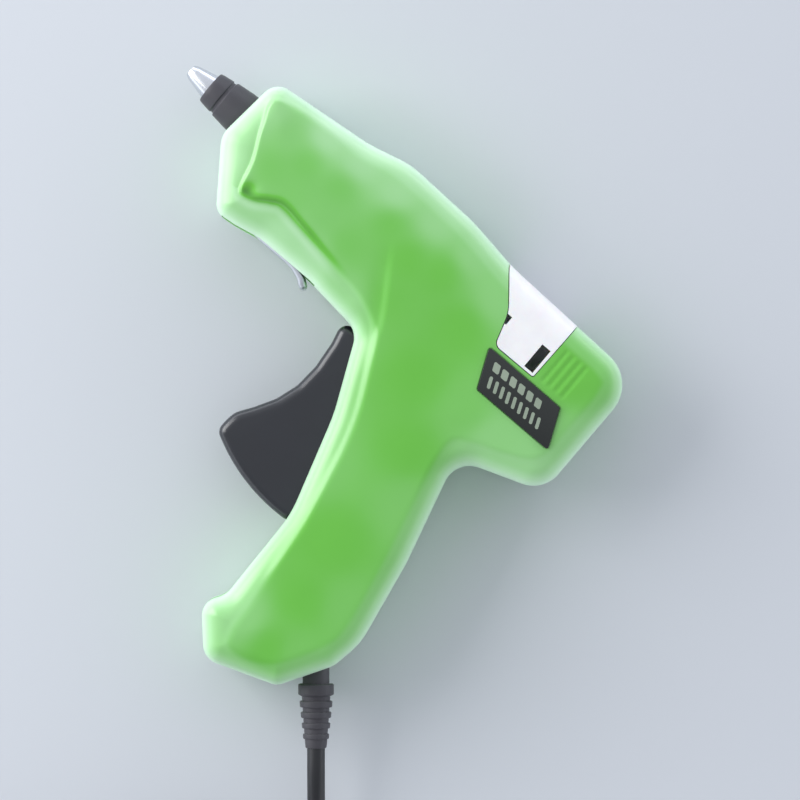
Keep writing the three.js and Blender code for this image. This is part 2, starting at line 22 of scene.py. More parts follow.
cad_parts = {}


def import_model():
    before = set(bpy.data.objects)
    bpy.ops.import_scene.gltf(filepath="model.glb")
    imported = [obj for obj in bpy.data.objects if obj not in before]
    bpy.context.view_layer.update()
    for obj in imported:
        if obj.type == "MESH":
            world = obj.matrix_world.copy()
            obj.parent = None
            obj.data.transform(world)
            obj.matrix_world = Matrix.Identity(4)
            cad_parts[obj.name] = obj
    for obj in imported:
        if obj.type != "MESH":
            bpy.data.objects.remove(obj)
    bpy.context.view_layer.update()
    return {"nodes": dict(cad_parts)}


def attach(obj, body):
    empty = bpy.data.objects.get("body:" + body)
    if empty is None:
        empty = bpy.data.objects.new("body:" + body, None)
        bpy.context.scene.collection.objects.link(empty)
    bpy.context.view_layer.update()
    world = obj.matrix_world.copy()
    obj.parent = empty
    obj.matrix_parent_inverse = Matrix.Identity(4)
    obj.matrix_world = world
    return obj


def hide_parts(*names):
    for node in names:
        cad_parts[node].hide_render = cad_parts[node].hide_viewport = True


LOG = logging.getLogger("glue_gun")

MM = 0.001
DATUM_X = 100.0  # the frame's origin along the stick axis
HALF = 17.5  # half the housing's thickness
SEAM = 0.15  # each half stops this far from the middle plane
INTO_FRAME = Matrix.Translation((-DATUM_X * MM, 0.0, HALF * MM)) @ Matrix.Scale(MM, 4)
SMOOTH_UNDER = math.radians(32)
SPAN_POINTS = 24  # points drawn between two given points of a smooth line
CHUNK = 1500  # points measured against a line at a time
ARC_STEP = 15.0  # degrees between the points of a turned solid's roundings
FINE_STEP = 0.7  # a face drawn finer than this follows the panel's edge

Array = np.ndarray
Object = bpy.types.Object
Node = bpy.types.Node
Tree = bpy.types.NodeTree
Corner = tuple[float, float, float]
Point = tuple[float, float, float]


class Body(Enum):
    """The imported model's bodies that new pieces ride on."""

    HOUSING = "housing"
    TRIGGER = "trigger"
    STAND = "stand"


class Slot(Enum):
    """The record's material slots."""

    GREEN = "green_abs"
    BLACK = "black_abs"
    BADGE = "badge_black"
    WINDOW = "window_white"
    RUBBER = "black_rubber"
    SILICONE = "red_silicone"
    CORD = "cord_pvc"
    WIRE = "wire_insulation"
    NOZZLE = "nozzle_metal"
    ALUMINIUM = "aluminium"
    STEEL = "steel"
    NICKEL = "pin_nickel"
    BRASS = "brass"
    CERAMIC = "ceramic"
    NYLON = "nylon"


class Cut(Enum):
    """What a solid does to the one it meets."""

    JOIN = "UNION"
    TAKE = "DIFFERENCE"
    KEEP = "INTERSECT"


# ------------------------------------------------------------------ node trees
def linear(colour: str) -> tuple[float, float, float, float]:
    """Turns an sRGB hex colour to linear light.

    Args:
        colour: Six hex digits.

    Returns:
        Red, green, blue and full opacity.
    """
    parts = [int(colour[k : k + 2], 16) / 255 for k in (0, 2, 4)]
    red, green, blue = [c / 12.92 if c <= 0.04045 else ((c + 0.055) / 1.055) ** 2.4 for c in parts]
    return red, green, blue, 1.0


def add_node(
    tree: Tree,
    kind: str,
    settings: dict[str, Any] | None = None,
    sockets: dict[str | int, Any] | None = None,
) -> Node:
    """Adds one node to a tree.

    Args:
        tree: The tree it goes in.
        kind: The node's type name.
        settings: Its properties.
        sockets: Values for its inputs, or the output sockets that feed them.

    Returns:
        The new node.
    """
    node = tree.nodes.new(kind)
    for key, value in (settings or {}).items():
        setattr(node, key, value)
    for key, value in (sockets or {}).items():
        if isinstance(value, bpy.types.NodeSocket):
            tree.links.new(value, node.inputs[key])
        else:
            node.inputs[key].default_value = value
    return node


def node_of(tree: Tree, kind: str) -> Node:
    """The one node of a kind that a new tree holds."""
    return next(n for n in tree.nodes if n.type == kind)


# ------------------------------------------------------------------ finishes
@dataclass(frozen=True)
class Finish:
    """A moulded, cast or extruded material with a fine grain and a slight unevenness of tone."""

    name: str
    slot: Slot
    colour: str
    shade: str
    roughness: float
    ior: float = 1.5
    metallic: float = 0.0
    coat: float = 0.0
    coat_roughness: float = 0.22
    sheen: float = 0.0
    sheen_colour: str = "FFFFFF"
    sheen_roughness: float = 0.4
    specular: float = 0.5
    subsurface: float = 0.0
    subsurface_depth: float = 0.003
    anisotropic: float = 0.0
    grain_mm: float = 0.25
    grain_depth_mm: float = 0.01
    blotch_mm: float = 14.0
    streak: Point = (1.0, 1.0, 1.0)

    def material(self) -> bpy.types.Material:
        """Makes the material, or returns it if it is there already."""
        known = bpy.data.materials.get(self.name)
        if known:
            return known
        made = bpy.data.materials.new(self.name)
        made.use_nodes = True
        tree = made.node_tree
        shader = node_of(tree, "BSDF_PRINCIPLED")
        for label, value in (
            ("IOR", self.ior), ("Metallic", self.metallic), ("Anisotropic", self.anisotropic),
            ("Coat Weight", self.coat), ("Coat Roughness", self.coat_roughness),
            ("Sheen Weight", self.sheen), ("Sheen Roughness", self.sheen_roughness),
            ("Sheen Tint", linear(self.sheen_colour)), ("Specular IOR Level", self.specular),
            ("Subsurface Weight", self.subsurface), ("Subsurface Scale", self.subsurface_depth),
        ):
            shader.inputs[label].default_value = value
        self.tone(tree, shader)
        self.relief(tree, shader)
        return made

    def place(self, tree: Tree, size_mm: float) -> Node:
        """Adds a noise whose lumps are size_mm across, drawn out along the streak."""
        where = add_node(tree, "ShaderNodeTexCoord")
        mapped = add_node(
            tree, "ShaderNodeMapping", sockets={"Vector": where.outputs["Object"], "Scale": self.streak}
        )
        return add_node(
            tree, "ShaderNodeTexNoise",
            sockets={"Vector": mapped.outputs[0], "Scale": 1 / (size_mm * MM), "Detail": 3.0},
        )

    def tone(self, tree: Tree, shader: Node) -> None:
        """Drifts the colour between two near shades and the roughness with it."""
        blotch = self.place(tree, self.blotch_mm)
        mix = add_node(
            tree, "ShaderNodeMix", {"data_type": "RGBA"},
            {0: blotch.outputs[0], 6: linear(self.colour), 7: linear(self.shade)},
        )
        tree.links.new(mix.outputs[2], shader.inputs["Base Color"])
        low, high = self.roughness * 0.85, min(1.0, self.roughness * 1.15)
        rough = add_node(tree, "ShaderNodeMapRange", sockets={0: blotch.outputs[0], 3: low, 4: high})
        tree.links.new(rough.outputs[0], shader.inputs["Roughness"])

    def relief(self, tree: Tree, shader: Node) -> None:
        """Raises the mould's grain."""
        grain = self.place(tree, self.grain_mm)
        depth = self.grain_depth_mm * MM
        bump = add_node(
            tree, "ShaderNodeBump", sockets={"Height": grain.outputs[0], "Distance": depth, "Strength": 1.0}
        )
        tree.links.new(bump.outputs[0], shader.inputs["Normal"])


@dataclass(frozen=True)
class PaintedLightFinish(Finish):
    """A moulded finish with a painted highlight and a painted shade over its plain tone, mixed by an
    attribute of its piece.
    """

    # Colours of the painted highlight (pale mint) and of the painted shade (deep green).
    pale: str = "DCFFDE"
    painted_shade: str = "2C6A1C"

    def tone(self, tree: Tree, shader: Node) -> None:
        """Adds the painted highlight and the painted shade over the plain tone."""
        super().tone(tree, shader)
        share = add_node(tree, "ShaderNodeAttribute", {"attribute_name": "pale"})
        for colour, sign in ((self.pale, 1.0), (self.painted_shade, -1.0)):
            plain = shader.inputs["Base Color"].links[0].from_socket
            part = add_node(
                tree, "ShaderNodeMath", {"operation": "MULTIPLY", "use_clamp": True},
                {0: share.outputs["Fac"], 1: sign},
            )
            mix = add_node(
                tree, "ShaderNodeMix", {"data_type": "RGBA"},
                {0: part.outputs[0], 6: plain, 7: linear(colour)},
            )
            tree.links.new(mix.outputs[2], shader.inputs["Base Color"])


# Injection-moulded ABS in lime: satin gloss, with painted highlights along the rims and painted shade in
# places, from the shell's own attribute.
LIME_ABS = PaintedLightFinish(
    "lime_abs_moulded", Slot.GREEN, "69C23E", "63BC36", 0.38,
    ior=1.5, sheen=0.45, sheen_colour="E6FFEE", sheen_roughness=0.45, coat=0.4,
    grain_mm=0.6, grain_depth_mm=0.006,
)
# Black ABS with a spark-eroded grain: dark grey with a soft wide highlight.
BLACK_ABS = Finish(
    "black_abs_grained", Slot.BLACK, "24262C", "1D1F24", 0.3,
    ior=1.54, coat=0.4, grain_mm=0.5, grain_depth_mm=0.01,
)
# Gloss black ABS plate: deep black with a clear highlight.
PLATE_ABS = Finish(
    "badge_abs_gloss", Slot.BADGE, "1E2420", "171B18", 0.22,
    ior=1.54, coat=0.3, grain_mm=2.0, grain_depth_mm=0.002,
)
# Pad-printed ink: pale, flat and slightly uneven.
PALE_INK = Finish(
    "badge_ink_pale", Slot.BADGE, "A3B09C", "7F8D7A", 0.5, grain_mm=0.4, grain_depth_mm=0.004,
)
# Milky polypropylene insert: bright white with a waxy gloss.
MILKY_PP = Finish(
    "milky_polypropylene", Slot.WINDOW, "FFFFFC", "F4EEF0", 0.3,
    ior=1.49, subsurface=0.15, blotch_mm=6.0, grain_mm=1.0, grain_depth_mm=0.004,
)
# Moulded rubber: near black, dull, with a powdery bloom.
RUBBER = Finish(
    "black_rubber_moulded", Slot.RUBBER, "45444A", "37353A", 0.55,
    ior=1.52, sheen=0.15, grain_mm=0.3, grain_depth_mm=0.015,
)
# Extruded PVC jacket: black, satin, very slightly ribbed along its length by the die.
CORD_PVC = Finish(
    "pvc_jacket_extruded", Slot.CORD, "232427", "1B1C1F", 0.4,
    ior=1.53, grain_mm=0.4, grain_depth_mm=0.008,
)
# Nickel-plated brass tip: bright, slightly dulled by turning marks.
TIP_METAL = Finish(
    "nozzle_nickel_turned", Slot.NOZZLE, "E6E9EE", "D6DADF", 0.26,
    metallic=1.0, anisotropic=0.4, grain_mm=0.3, grain_depth_mm=0.002, streak=(6.0, 1.0, 1.0),
)
# Drawn steel wire, zinc plated: bright grey with fine lines along it.
WIRE_STEEL = Finish(
    "stand_steel_drawn", Slot.STEEL, "E2E6EB", "D0D5DB", 0.4,
    metallic=1.0, anisotropic=0.3, grain_mm=0.4, grain_depth_mm=0.003,
)
# Zinc-plated screw steel: grey with a faint blue, softly worn.
SCREW_STEEL = Finish(
    "screw_steel_zinc", Slot.STEEL, "AEB4BC", "9AA0A8", 0.34,
    metallic=1.0, grain_mm=0.3, grain_depth_mm=0.004,
)
# Die-cast aluminium: pale grey, matt and slightly pitted.
CAST_ALUMINIUM = Finish(
    "aluminium_die_cast", Slot.ALUMINIUM, "B9BCC0", "A5A8AC", 0.48,
    metallic=1.0, grain_mm=0.7, grain_depth_mm=0.03,
)
# Rolled brass strip: warm yellow with a soft line from the rolls.
ROLLED_BRASS = Finish(
    "brass_strip_rolled", Slot.BRASS, "D8B566", "C9A354", 0.3,
    metallic=1.0, anisotropic=0.3, grain_mm=0.4, grain_depth_mm=0.003, streak=(0.2, 1.0, 1.0),
)
# Nickel-plated plug pins: bright and smooth.
PIN_NICKEL = Finish(
    "pin_nickel_plated", Slot.NICKEL, "DADBD8", "C8C9C6", 0.2,
    metallic=1.0, grain_mm=0.5, grain_depth_mm=0.001,
)
# Fired heater ceramic: chalky off-white.
HEATER_CERAMIC = Finish(
    "heater_ceramic_fired", Slot.CERAMIC, "E8E2D2", "DCD4C2", 0.75,
    ior=1.6, grain_mm=0.4, grain_depth_mm=0.02,
)
# Silicone rubber in red: soft sheen, slightly translucent.
RED_SILICONE = Finish(
    "silicone_red_moulded", Slot.SILICONE, "B23A2A", "A03022", 0.45,
    ior=1.41, subsurface=0.1, grain_mm=0.5, grain_depth_mm=0.008,
)
# Natural nylon: ivory, slightly waxy.
NATURAL_NYLON = Finish(
    "nylon_natural_moulded", Slot.NYLON, "E9E4D4", "DFD9C6", 0.4,
    ior=1.53, subsurface=0.1, grain_mm=0.5, grain_depth_mm=0.01,
)
# Glass-sleeved wire insulation: white, matt, with a fine braid.
WIRE_SLEEVE = Finish(
    "wire_sleeve_woven", Slot.WIRE, "E6E2DA", "D2CEC4", 0.8,
    grain_mm=0.5, grain_depth_mm=0.03,
)


# ------------------------------------------------------------------ flat shapes
def rounded(corners: Sequence[Corner], step: float = 5.0, closed: bool = True) -> Array:
    """Rounds the corners of a polygon with arcs.

    Args:
        corners: X, Y and radius of each corner; radius 0 keeps it sharp.
        step: Degrees between the points of an arc.
        closed: False leaves the first and last corner as they are.

    Returns:
        The points, one row each.
    """
    out: list[Array] = []
    count = len(corners)
    for i, (x, y, r) in enumerate(corners):
        corner = np.array((x, y), float)
        if r == 0 or (not closed and i in (0, count - 1)):
            out.append(corner)
            continue
        back = np.array(corners[i - 1][:2], float) - corner
        ahead = np.array(corners[(i + 1) % count][:2], float) - corner
        back /= np.linalg.norm(back)
        ahead /= np.linalg.norm(ahead)
        half = math.acos(max(-1.0, min(1.0, float(back @ ahead)))) / 2
        middle = back + ahead
        centre = corner + middle / np.linalg.norm(middle) * r / math.sin(half)
        start = corner + back * r / math.tan(half) - centre
        turn = (math.pi - 2 * half) * -np.sign(back[0] * ahead[1] - back[1] * ahead[0])
        steps = max(1, math.ceil(abs(math.degrees(turn)) / step))
        for k in range(steps + 1):
            a = turn * k / steps
            c, s = math.cos(a), math.sin(a)
            out.append(centre + np.array((c * start[0] - s * start[1], s * start[0] + c * start[1])))
    return np.array(out)


def evenly(points: Array, spacing: float, closed: bool) -> Array:
    """Spaces points evenly along a line.

    Args:
        points: The line's points, in any number of dimensions.
        spacing: The distance wanted between points.
        closed: True for a loop, whose first point isn't repeated.

    Returns:
        The new points.
    """
    line = np.vstack([points, points[:1]]) if closed else points
    run = np.concatenate([[0.0], np.cumsum(np.linalg.norm(np.diff(line, axis=0), axis=1))])
    count = max(3, round(run[-1] / spacing))
    at = np.linspace(0, run[-1], count + 1)[: count if closed else count + 1]
    return np.stack([np.interp(at, run, line[:, k]) for k in range(line.shape[1])], axis=1)


def flowing(points: Sequence[Sequence[float]], spacing: float, closed: bool = False) -> Array:
    """Draws a smooth line through points, at an even spacing.

    Args:
        points: The points it passes through.
        spacing: The distance between the points returned.
        closed: True for a loop.

    Returns:
        The line's points.
    """
    p = np.array(points, float)
    ends = (p[-1], [p[0], p[1]]) if closed else (2 * p[0] - p[1], [2 * p[-1] - p[-2]])
    p = np.vstack([ends[0], p, *ends[1]])
    t = np.linspace(0, 1, SPAN_POINTS, endpoint=False)[:, None]
    parts = []
    for a, b, c, d in zip(p[:-3], p[1:-2], p[2:-1], p[3:]):
        m0, m1 = (c - a) / 2, (d - b) / 2
        parts.append(
            (2 * t**3 - 3 * t**2 + 1) * b + (t**3 - 2 * t**2 + t) * m0
            + (3 * t**2 - 2 * t**3) * c + (t**3 - t**2) * m1
        )
    line = np.vstack(parts) if closed else np.vstack([*parts, p[-2:-1]])
    return evenly(line, spacing, closed)


def area_of(loop: Array) -> float:
    """Twice the loop's area, above 0 if it runs anticlockwise."""
    nxt = np.roll(loop, -1, axis=0)
    return float(np.sum(loop[:, 0] * nxt[:, 1] - nxt[:, 0] * loop[:, 1]))


def inward(loop: Array) -> Array:
    """The unit normals of an anticlockwise or clockwise loop, pointing into it."""
    ahead = np.roll(loop, -1, axis=0) - np.roll(loop, 1, axis=0)
    ahead /= np.linalg.norm(ahead, axis=1, keepdims=True)
    left = np.stack([-ahead[:, 1], ahead[:, 0]], axis=1)
    return left * np.sign(area_of(loop))


def to_line(points: Array, line: Array, closed: bool) -> tuple[Array, Array, Array]:
    """Measures points against a line.

    Args:
        points: The points, N by 2.
        line: The line's points, M by 2.
        closed: True if its last point joins its first.

    Returns:
        The distance, the side (1 on the line's left) and the place along it from 0 to 1.
    """
    a = line if closed else line[:-1]
    b = np.roll(line, -1, axis=0) if closed else line[1:]
    step = b - a
    long2 = np.maximum((step**2).sum(1), 1e-12)
    far, side, place = (np.zeros(len(points)) for _ in range(3))
    for k in range(0, len(points), CHUNK):
        part = slice(k, k + CHUNK)
        p = points[part, None, :]
        t = np.clip(((p - a) * step).sum(2) / long2, 0, 1)
        gap = p - (a + t[..., None] * step)
        d2 = (gap**2).sum(2)
        best = d2.argmin(1)
        rows = np.arange(len(best))
        far[part] = np.sqrt(d2[rows, best])
        g, s = gap[rows, best], step[best]
        side[part] = np.sign(s[:, 0] * g[:, 1] - s[:, 1] * g[:, 0])
        place[part] = (best + t[rows, best]) / len(a)
    return far, side, place


def inside(points: Array, loop: Array) -> Array:
    """True for each point that lies in the loop."""
    x, y = points[:, 0], points[:, 1]
    hit = np.zeros(len(points), bool)
    for (x0, y0), (x1, y1) in zip(loop, np.roll(loop, -1, axis=0)):
        if y0 != y1:
            cross = (y0 > y) != (y1 > y)
            hit ^= cross & (x < (x1 - x0) * (y - y0) / (y1 - y0) + x0)
    return hit


def smooth(t: Array | float) -> Array | float:
    """An even rise from 0 to 1 as t goes from 0 to 1."""
    t = np.clip(t, 0, 1)
    return t * t * (3 - 2 * t)


def spot_at(points: Array, place: tuple[float, float], spread: float) -> Array:
    """1 at a place, fading to 0 around it."""
    return np.exp(-((points - np.array(place)) ** 2).sum(1) / spread)


# ------------------------------------------------------------------ solids
def placed(name: str, data: bpy.types.ID) -> Object:
    """Makes an object of the data and puts it in the scene."""
    made = bpy.data.objects.new(name, data)
    bpy.context.scene.collection.objects.link(made)
    return made


def make_object(
    name: str, points: Iterable[Sequence[float]], faces: Iterable[Sequence[int]]
) -> Object:
    """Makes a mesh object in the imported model's frame from points in the gun's frame."""
    mesh = bpy.data.meshes.new(name)
    mesh.from_pydata([tuple(map(float, p)) for p in points], [], [tuple(map(int, f)) for f in faces])
    mesh.transform(INTO_FRAME)
    return placed(name, mesh)


def applied(obj: Object) -> Object:
    """Turns the object's modifiers into plain mesh."""
    graph = bpy.context.evaluated_depsgraph_get()
    graph.update()
    old = obj.data
    obj.data = bpy.data.meshes.new_from_object(obj.evaluated_get(graph))
    obj.modifiers.clear()
    bpy.data.meshes.remove(old)
    obj.data.name = obj.name
    return obj


def combine(base: Object, how: Cut, *others: Object) -> Object:
    """Joins solids to one, takes them from it, or keeps what they share.

    Args:
        base: The solid that is changed.
        how: What the others do to it.
        others: The other solids, which are used up.

    Returns:
        The changed solid.
    """
    for other in others:
        step = base.modifiers.new("step", "BOOLEAN")
        step.operation = how.value
        step.solver = "MANIFOLD"
        step.object = other
        applied(base)
        if not base.data.polygons:
            raise ValueError(f"{base.name}: nothing is left after {other.name}")
        bpy.data.objects.remove(other)
    return base


def softened(obj: Object, width: float, segments: int = 3, angle: float = 30.0) -> Object:
    """Rounds the solid's edges that turn by more than the angle, in degrees."""
    step = obj.modifiers.new("edges", "BEVEL")
    step.width = width * MM
    step.segments = segments
    step.limit_method = "ANGLE"
    step.angle_limit = math.radians(angle)
    step.harden_normals = False
    return applied(obj)


def between_rows(rows: int, n: int) -> list[tuple[int, ...]]:
    """The faces between closed rows of n points each."""
    return [
        (r * n + i, r * n + (i + 1) % n, (r + 1) * n + (i + 1) % n, (r + 1) * n + i)
        for r in range(rows - 1)
        for i in range(n)
    ]


def prism(name: str, outline: Array, z0: float, z1: float) -> Object:
    """A flat outline pulled from z0 to z1."""
    n = len(outline)
    loop = outline if area_of(outline) > 0 else outline[::-1]
    points = [(*p, z0) for p in loop] + [(*p, z1) for p in loop]
    faces = [tuple(range(n))[::-1], tuple(range(n, 2 * n))]
    faces += [(i, (i + 1) % n, n + (i + 1) % n, n + i) for i in range(n)]
    return make_object(name, points, faces)


def pillow(name: str, outline: Array, half: float, rim: float, steps: int = 7) -> Object:
    """A plate about the middle plane whose two rims are rounded.

    Args:
        name: Its name.
        outline: Its outline, with no corner tighter than the rim.
        half: Half its thickness.
        rim: The rims' radius.
        steps: Facets across each rim.

    Returns:
        The plate.
    """
    normals, n = inward(outline), len(outline)
    turns = np.linspace(math.pi / 2, 0, steps + 1)
    levels = [(rim * (1 - math.cos(a)), -half + rim * (1 - math.sin(a))) for a in turns]
    levels += [(inset, -z) for inset, z in reversed(levels)]
    points = np.vstack([np.column_stack([outline + normals * inset, np.full(n, z)]) for inset, z in levels])
    caps = [tuple(range(n))[::-1], tuple(len(points) - n + i for i in range(n))]
    faces = [*between_rows(len(levels), n), *caps]
    return make_object(name, points, faces if area_of(outline) > 0 else [f[::-1] for f in faces])


def box(name: str, lo: Point, hi: Point) -> Object:
    """A block between two corners."""
    flat = np.array([(lo[0], lo[1]), (hi[0], lo[1]), (hi[0], hi[1]), (lo[0], hi[1])], float)
    return prism(name, flat, lo[2], hi[2])


def turned(
    name: str,
    profile: Sequence[Corner],
    base: Point = (0.0, 0.0, 0.0),
    axis: Point = (1.0, 0.0, 0.0),
    sides: int = 64,
) -> Object:
    """A solid of revolution.

    Args:
        name: Its name.
        profile: Distance along the axis, radius and rounding of each corner, from axis to axis.
        base: Where the axis starts.
        axis: The axis direction.
        sides: Points around.

    Returns:
        The solid.
    """
    line = rounded(profile, ARC_STEP, closed=False)
    ring = line[1:-1]
    points: list[Point] = [(0.0, 0.0, line[0][0])]
    for along, radius in ring:
        for k in range(sides):
            a = 2 * math.pi * k / sides
            points.append((radius * math.cos(a), radius * math.sin(a), along))
    points.append((0.0, 0.0, line[-1][0]))
    last = len(points) - 1
    faces: list[tuple[int, ...]] = []
    for k in range(sides):
        j = (k + 1) % sides
        faces.append((0, 1 + j, 1 + k))
        for r in range(len(ring) - 1):
            a, b = 1 + r * sides, 1 + (r + 1) * sides
            faces.append((a + k, a + j, b + j, b + k))
        top = 1 + (len(ring) - 1) * sides
        faces.append((top + k, top + j, last))
    turn = Vector(axis).normalized().to_track_quat("Z", "Y").to_matrix().to_4x4()
    place = Matrix.Translation(base) @ turn
    made = make_object(name, [place @ Vector(p) for p in points], faces)
    if line[-1][0] < line[0][0]:
        made.data.flip_normals()
    return made


def rod(name: str, radius: float, start: Point, end: Point, sides: int = 48) -> Object:
    """A plain round bar from one point to another."""
    a, b = Vector(start), Vector(end)
    length = (b - a).length
    profile = [(0.0, 0.0, 0.0), (0.0, radius, 0.0), (length, radius, 0.0), (length, 0.0, 0.0)]
    return turned(name, profile, start, tuple(b - a), sides)


# ------------------------------------------------------------------ geometry node trees
@dataclass
class PieceTree:
    """A geometry node tree that makes pieces out of what it is given and dresses them."""

    tree_name: str
    inputs: tuple[tuple[str, str], ...]

    def nodes(self, tree: Tree, given: Node) -> Node:
        """Adds the nodes of one kind of tree and returns the last."""
        raise NotImplementedError

    def tree(self) -> Tree:
        """Builds the tree, or returns it if it is there already."""
        known = bpy.data.node_groups.get(self.tree_name)
        if known:
            return known
        tree = bpy.data.node_groups.new(self.tree_name, "GeometryNodeTree")
        for label, kind in (*self.inputs, ("Material", "Material")):
            tree.interface.new_socket(label, in_out="INPUT", socket_type=f"NodeSocket{kind}")
        tree.interface.new_socket("Pieces", in_out="OUTPUT", socket_type="NodeSocketGeometry")
        given = add_node(tree, "NodeGroupInput")
        last = self.nodes(tree, given)
        real = add_node(tree, "GeometryNodeRealizeInstances", sockets={0: last.outputs[0]})
        dressed = add_node(
            tree, "GeometryNodeSetMaterial",
            sockets={"Geometry": real.outputs[0], "Material": given.outputs["Material"]},
        )
        add_node(tree, "NodeGroupOutput", sockets={"Pieces": dressed.outputs[0]})
        return tree

    def run(self, obj: Object, finish: Finish, **values: Any) -> Object:
        """Runs the tree on an object and keeps the result as plain mesh.

        Args:
            obj: The object.
            finish: The material of the pieces.
            values: The tree's other inputs, by name with an underscore for a space.

        Returns:
            The same object with its new mesh.
        """
        step = obj.modifiers.new("nodes", "NODES")
        step.node_group = self.tree()
        known = {label.replace("_", " "): value for label, value in values.items()}
        known["Material"] = finish.material()
        for item in step.node_group.interface.items_tree:
            if item.item_type == "SOCKET" and item.in_out == "INPUT" and item.name in known:
                step[item.identifier] = known[item.name]
        return applied(obj)


@dataclass
class TubeAlongLine(PieceTree):
    """Draws a round tube along a line of points."""

    tree_name: str = "tube_along_line"
    inputs: tuple[tuple[str, str], ...] = (("Line", "Geometry"), ("Radius", "Float"), ("Sides", "Int"))
    sides: int = 20

    def nodes(self, tree: Tree, given: Node) -> Node:
        """Sweeps a circle along the line."""
        curve = add_node(tree, "GeometryNodeMeshToCurve", sockets={"Mesh": given.outputs["Line"]})
        ring = add_node(
            tree, "GeometryNodeCurvePrimitiveCircle",
            sockets={"Radius": given.outputs["Radius"], "Resolution": given.outputs["Sides"]},
        )
        return add_node(
            tree, "GeometryNodeCurveToMesh",
            sockets={"Curve": curve.outputs[0], "Profile Curve": ring.outputs[0], "Fill Caps": True},
        )

    def draw(self, name: str, line: Array, radius: float, finish: Finish) -> Object:
        """Draws one tube.

        Args:
            name: The piece's name.
            line: Points in the gun's frame.
            radius: The tube's radius.
            finish: Its material.

        Returns:
            A plain mesh object.
        """
        made = make_object(name, line, [])
        made.data.edges.add(len(line) - 1)
        pairs = np.stack([np.arange(len(line) - 1), np.arange(1, len(line))], axis=1)
        made.data.edges.foreach_set("vertices", pairs.ravel().astype(np.int32))
        made.data.update()
        return self.run(made, finish, Radius=radius * MM, Sides=self.sides)


@dataclass
class RowOfPieces(PieceTree):
    """Repeats a piece in a straight row, growing or shrinking on the way."""

    tree_name: str = "row_of_pieces"
    inputs: tuple[tuple[str, str], ...] = (
        ("Start", "Geometry"), ("Count", "Int"), ("Step", "Vector"), ("Last Size", "Float"),
    )

    def nodes(self, tree: Tree, given: Node) -> Node:
        """Puts the piece on a line of points, at a size that goes by its place."""
        line = add_node(
            tree, "GeometryNodeMeshLine", {"mode": "OFFSET"},
            {"Count": given.outputs["Count"], "Offset": given.outputs["Step"]},
        )
        index = add_node(tree, "GeometryNodeInputIndex")
        last = add_node(
            tree, "ShaderNodeMath", {"operation": "SUBTRACT"}, {0: given.outputs["Count"], 1: 1.0}
        )
        size = add_node(
            tree, "ShaderNodeMapRange",
            sockets={0: index.outputs[0], 2: last.outputs[0], 3: 1.0, 4: given.outputs["Last Size"]},
        )
        return add_node(
            tree, "GeometryNodeInstanceOnPoints",
            sockets={
                "Points": line.outputs[0], "Instance": given.outputs["Start"], "Scale": size.outputs[0],
            },
        )

    def repeat(
        self, first: Object, pivot: Point, step: Point, count: int, finish: Finish, last: float
    ) -> Object:
        """Repeats a solid in a row.

        Args:
            first: The first solid, in place.
            pivot: The point it shrinks about, in the gun's frame.
            step: From one solid to the next, in the gun's frame.
            count: How many there are.
            finish: Their material.
            last: The last one's size against the first.

        Returns:
            The whole row as one plain mesh.
        """
        centre = INTO_FRAME @ Vector(pivot)
        first.data.transform(Matrix.Translation(-centre))
        self.run(first, finish, Count=count, Step=tuple(MM * s for s in step), Last_Size=last)
        first.data.transform(Matrix.Translation(centre))
        return first


@dataclass
class PiecesAtPoints(PieceTree):
    """Puts the same piece at each of several points."""

    tree_name: str = "pieces_at_points"
    inputs: tuple[tuple[str, str], ...] = (
        ("Points", "Geometry"), ("Piece", "Object"), ("Turn", "Float"), ("Seed", "Int"),
    )

    def nodes(self, tree: Tree, given: Node) -> Node:
        """Puts the piece on the points, each at its own turn about Z."""
        info = add_node(tree, "GeometryNodeObjectInfo", sockets={"Object": given.outputs["Piece"]})
        turn = add_node(
            tree, "FunctionNodeRandomValue", {"data_type": "FLOAT"},
            {"Max": given.outputs["Turn"], "Seed": given.outputs["Seed"]},
        )
        spin = add_node(tree, "ShaderNodeCombineXYZ", sockets={"Z": turn.outputs[1]})
        return add_node(
            tree, "GeometryNodeInstanceOnPoints",
            sockets={
                "Points": given.outputs["Points"], "Instance": info.outputs["Geometry"],
                "Rotation": spin.outputs[0],
            },
        )

    def put(
        self,
        name: str,
        piece: Object,
        points: Sequence[Point],
        finish: Finish,
        turn: float,
        seed: int,
    ) -> Object:
        """Puts the piece, made about the gun's origin, at each point.

        Args:
            name: The name of the result.
            piece: The piece, which is used up.
            points: Places in the gun's frame.
            finish: Their material.
            turn: The most that one is turned about Z, in radians.
            seed: Fixes the turns.

        Returns:
            All of them as one plain mesh.
        """
        piece.data.transform(Matrix.Translation(-(INTO_FRAME @ Vector((0, 0, 0)))))
        made = make_object(name, points, [])
        self.run(made, finish, Piece=piece, Turn=turn, Seed=seed)
        bpy.data.objects.remove(piece)
        return made


# ------------------------------------------------------------------ assemblies
@dataclass
class Assembly:
    """A group of pieces that are built and dressed together."""

    made: list[Object] = field(default_factory=list, init=False)

    def settle(
        self, obj: Object, finish: Finish, nodes: Sequence[str] = (), body: Body = Body.HOUSING
    ) -> Object:
        """Gives a piece its material, its shading, its body and the nodes it stands for.

        Args:
            obj: The piece.
            finish: Its material.
            nodes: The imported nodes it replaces.
            body: The body it rides on.

        Returns:
            The piece.
        """
        for index, known in enumerate(obj.data.materials):
            if known is None:
                obj.data.materials[index] = finish.material()
        if not obj.data.materials:
            obj.data.materials.append(finish.material())
        obj.data.shade_smooth()
        obj.data.set_sharp_from_angle(angle=SMOOTH_UNDER)
        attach(obj, body.value)
        if nodes:
            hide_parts(*nodes)
        self.made.append(obj)
        LOG.info("%s: %d faces, %s", obj.name, len(obj.data.polygons), finish.name)
        return obj


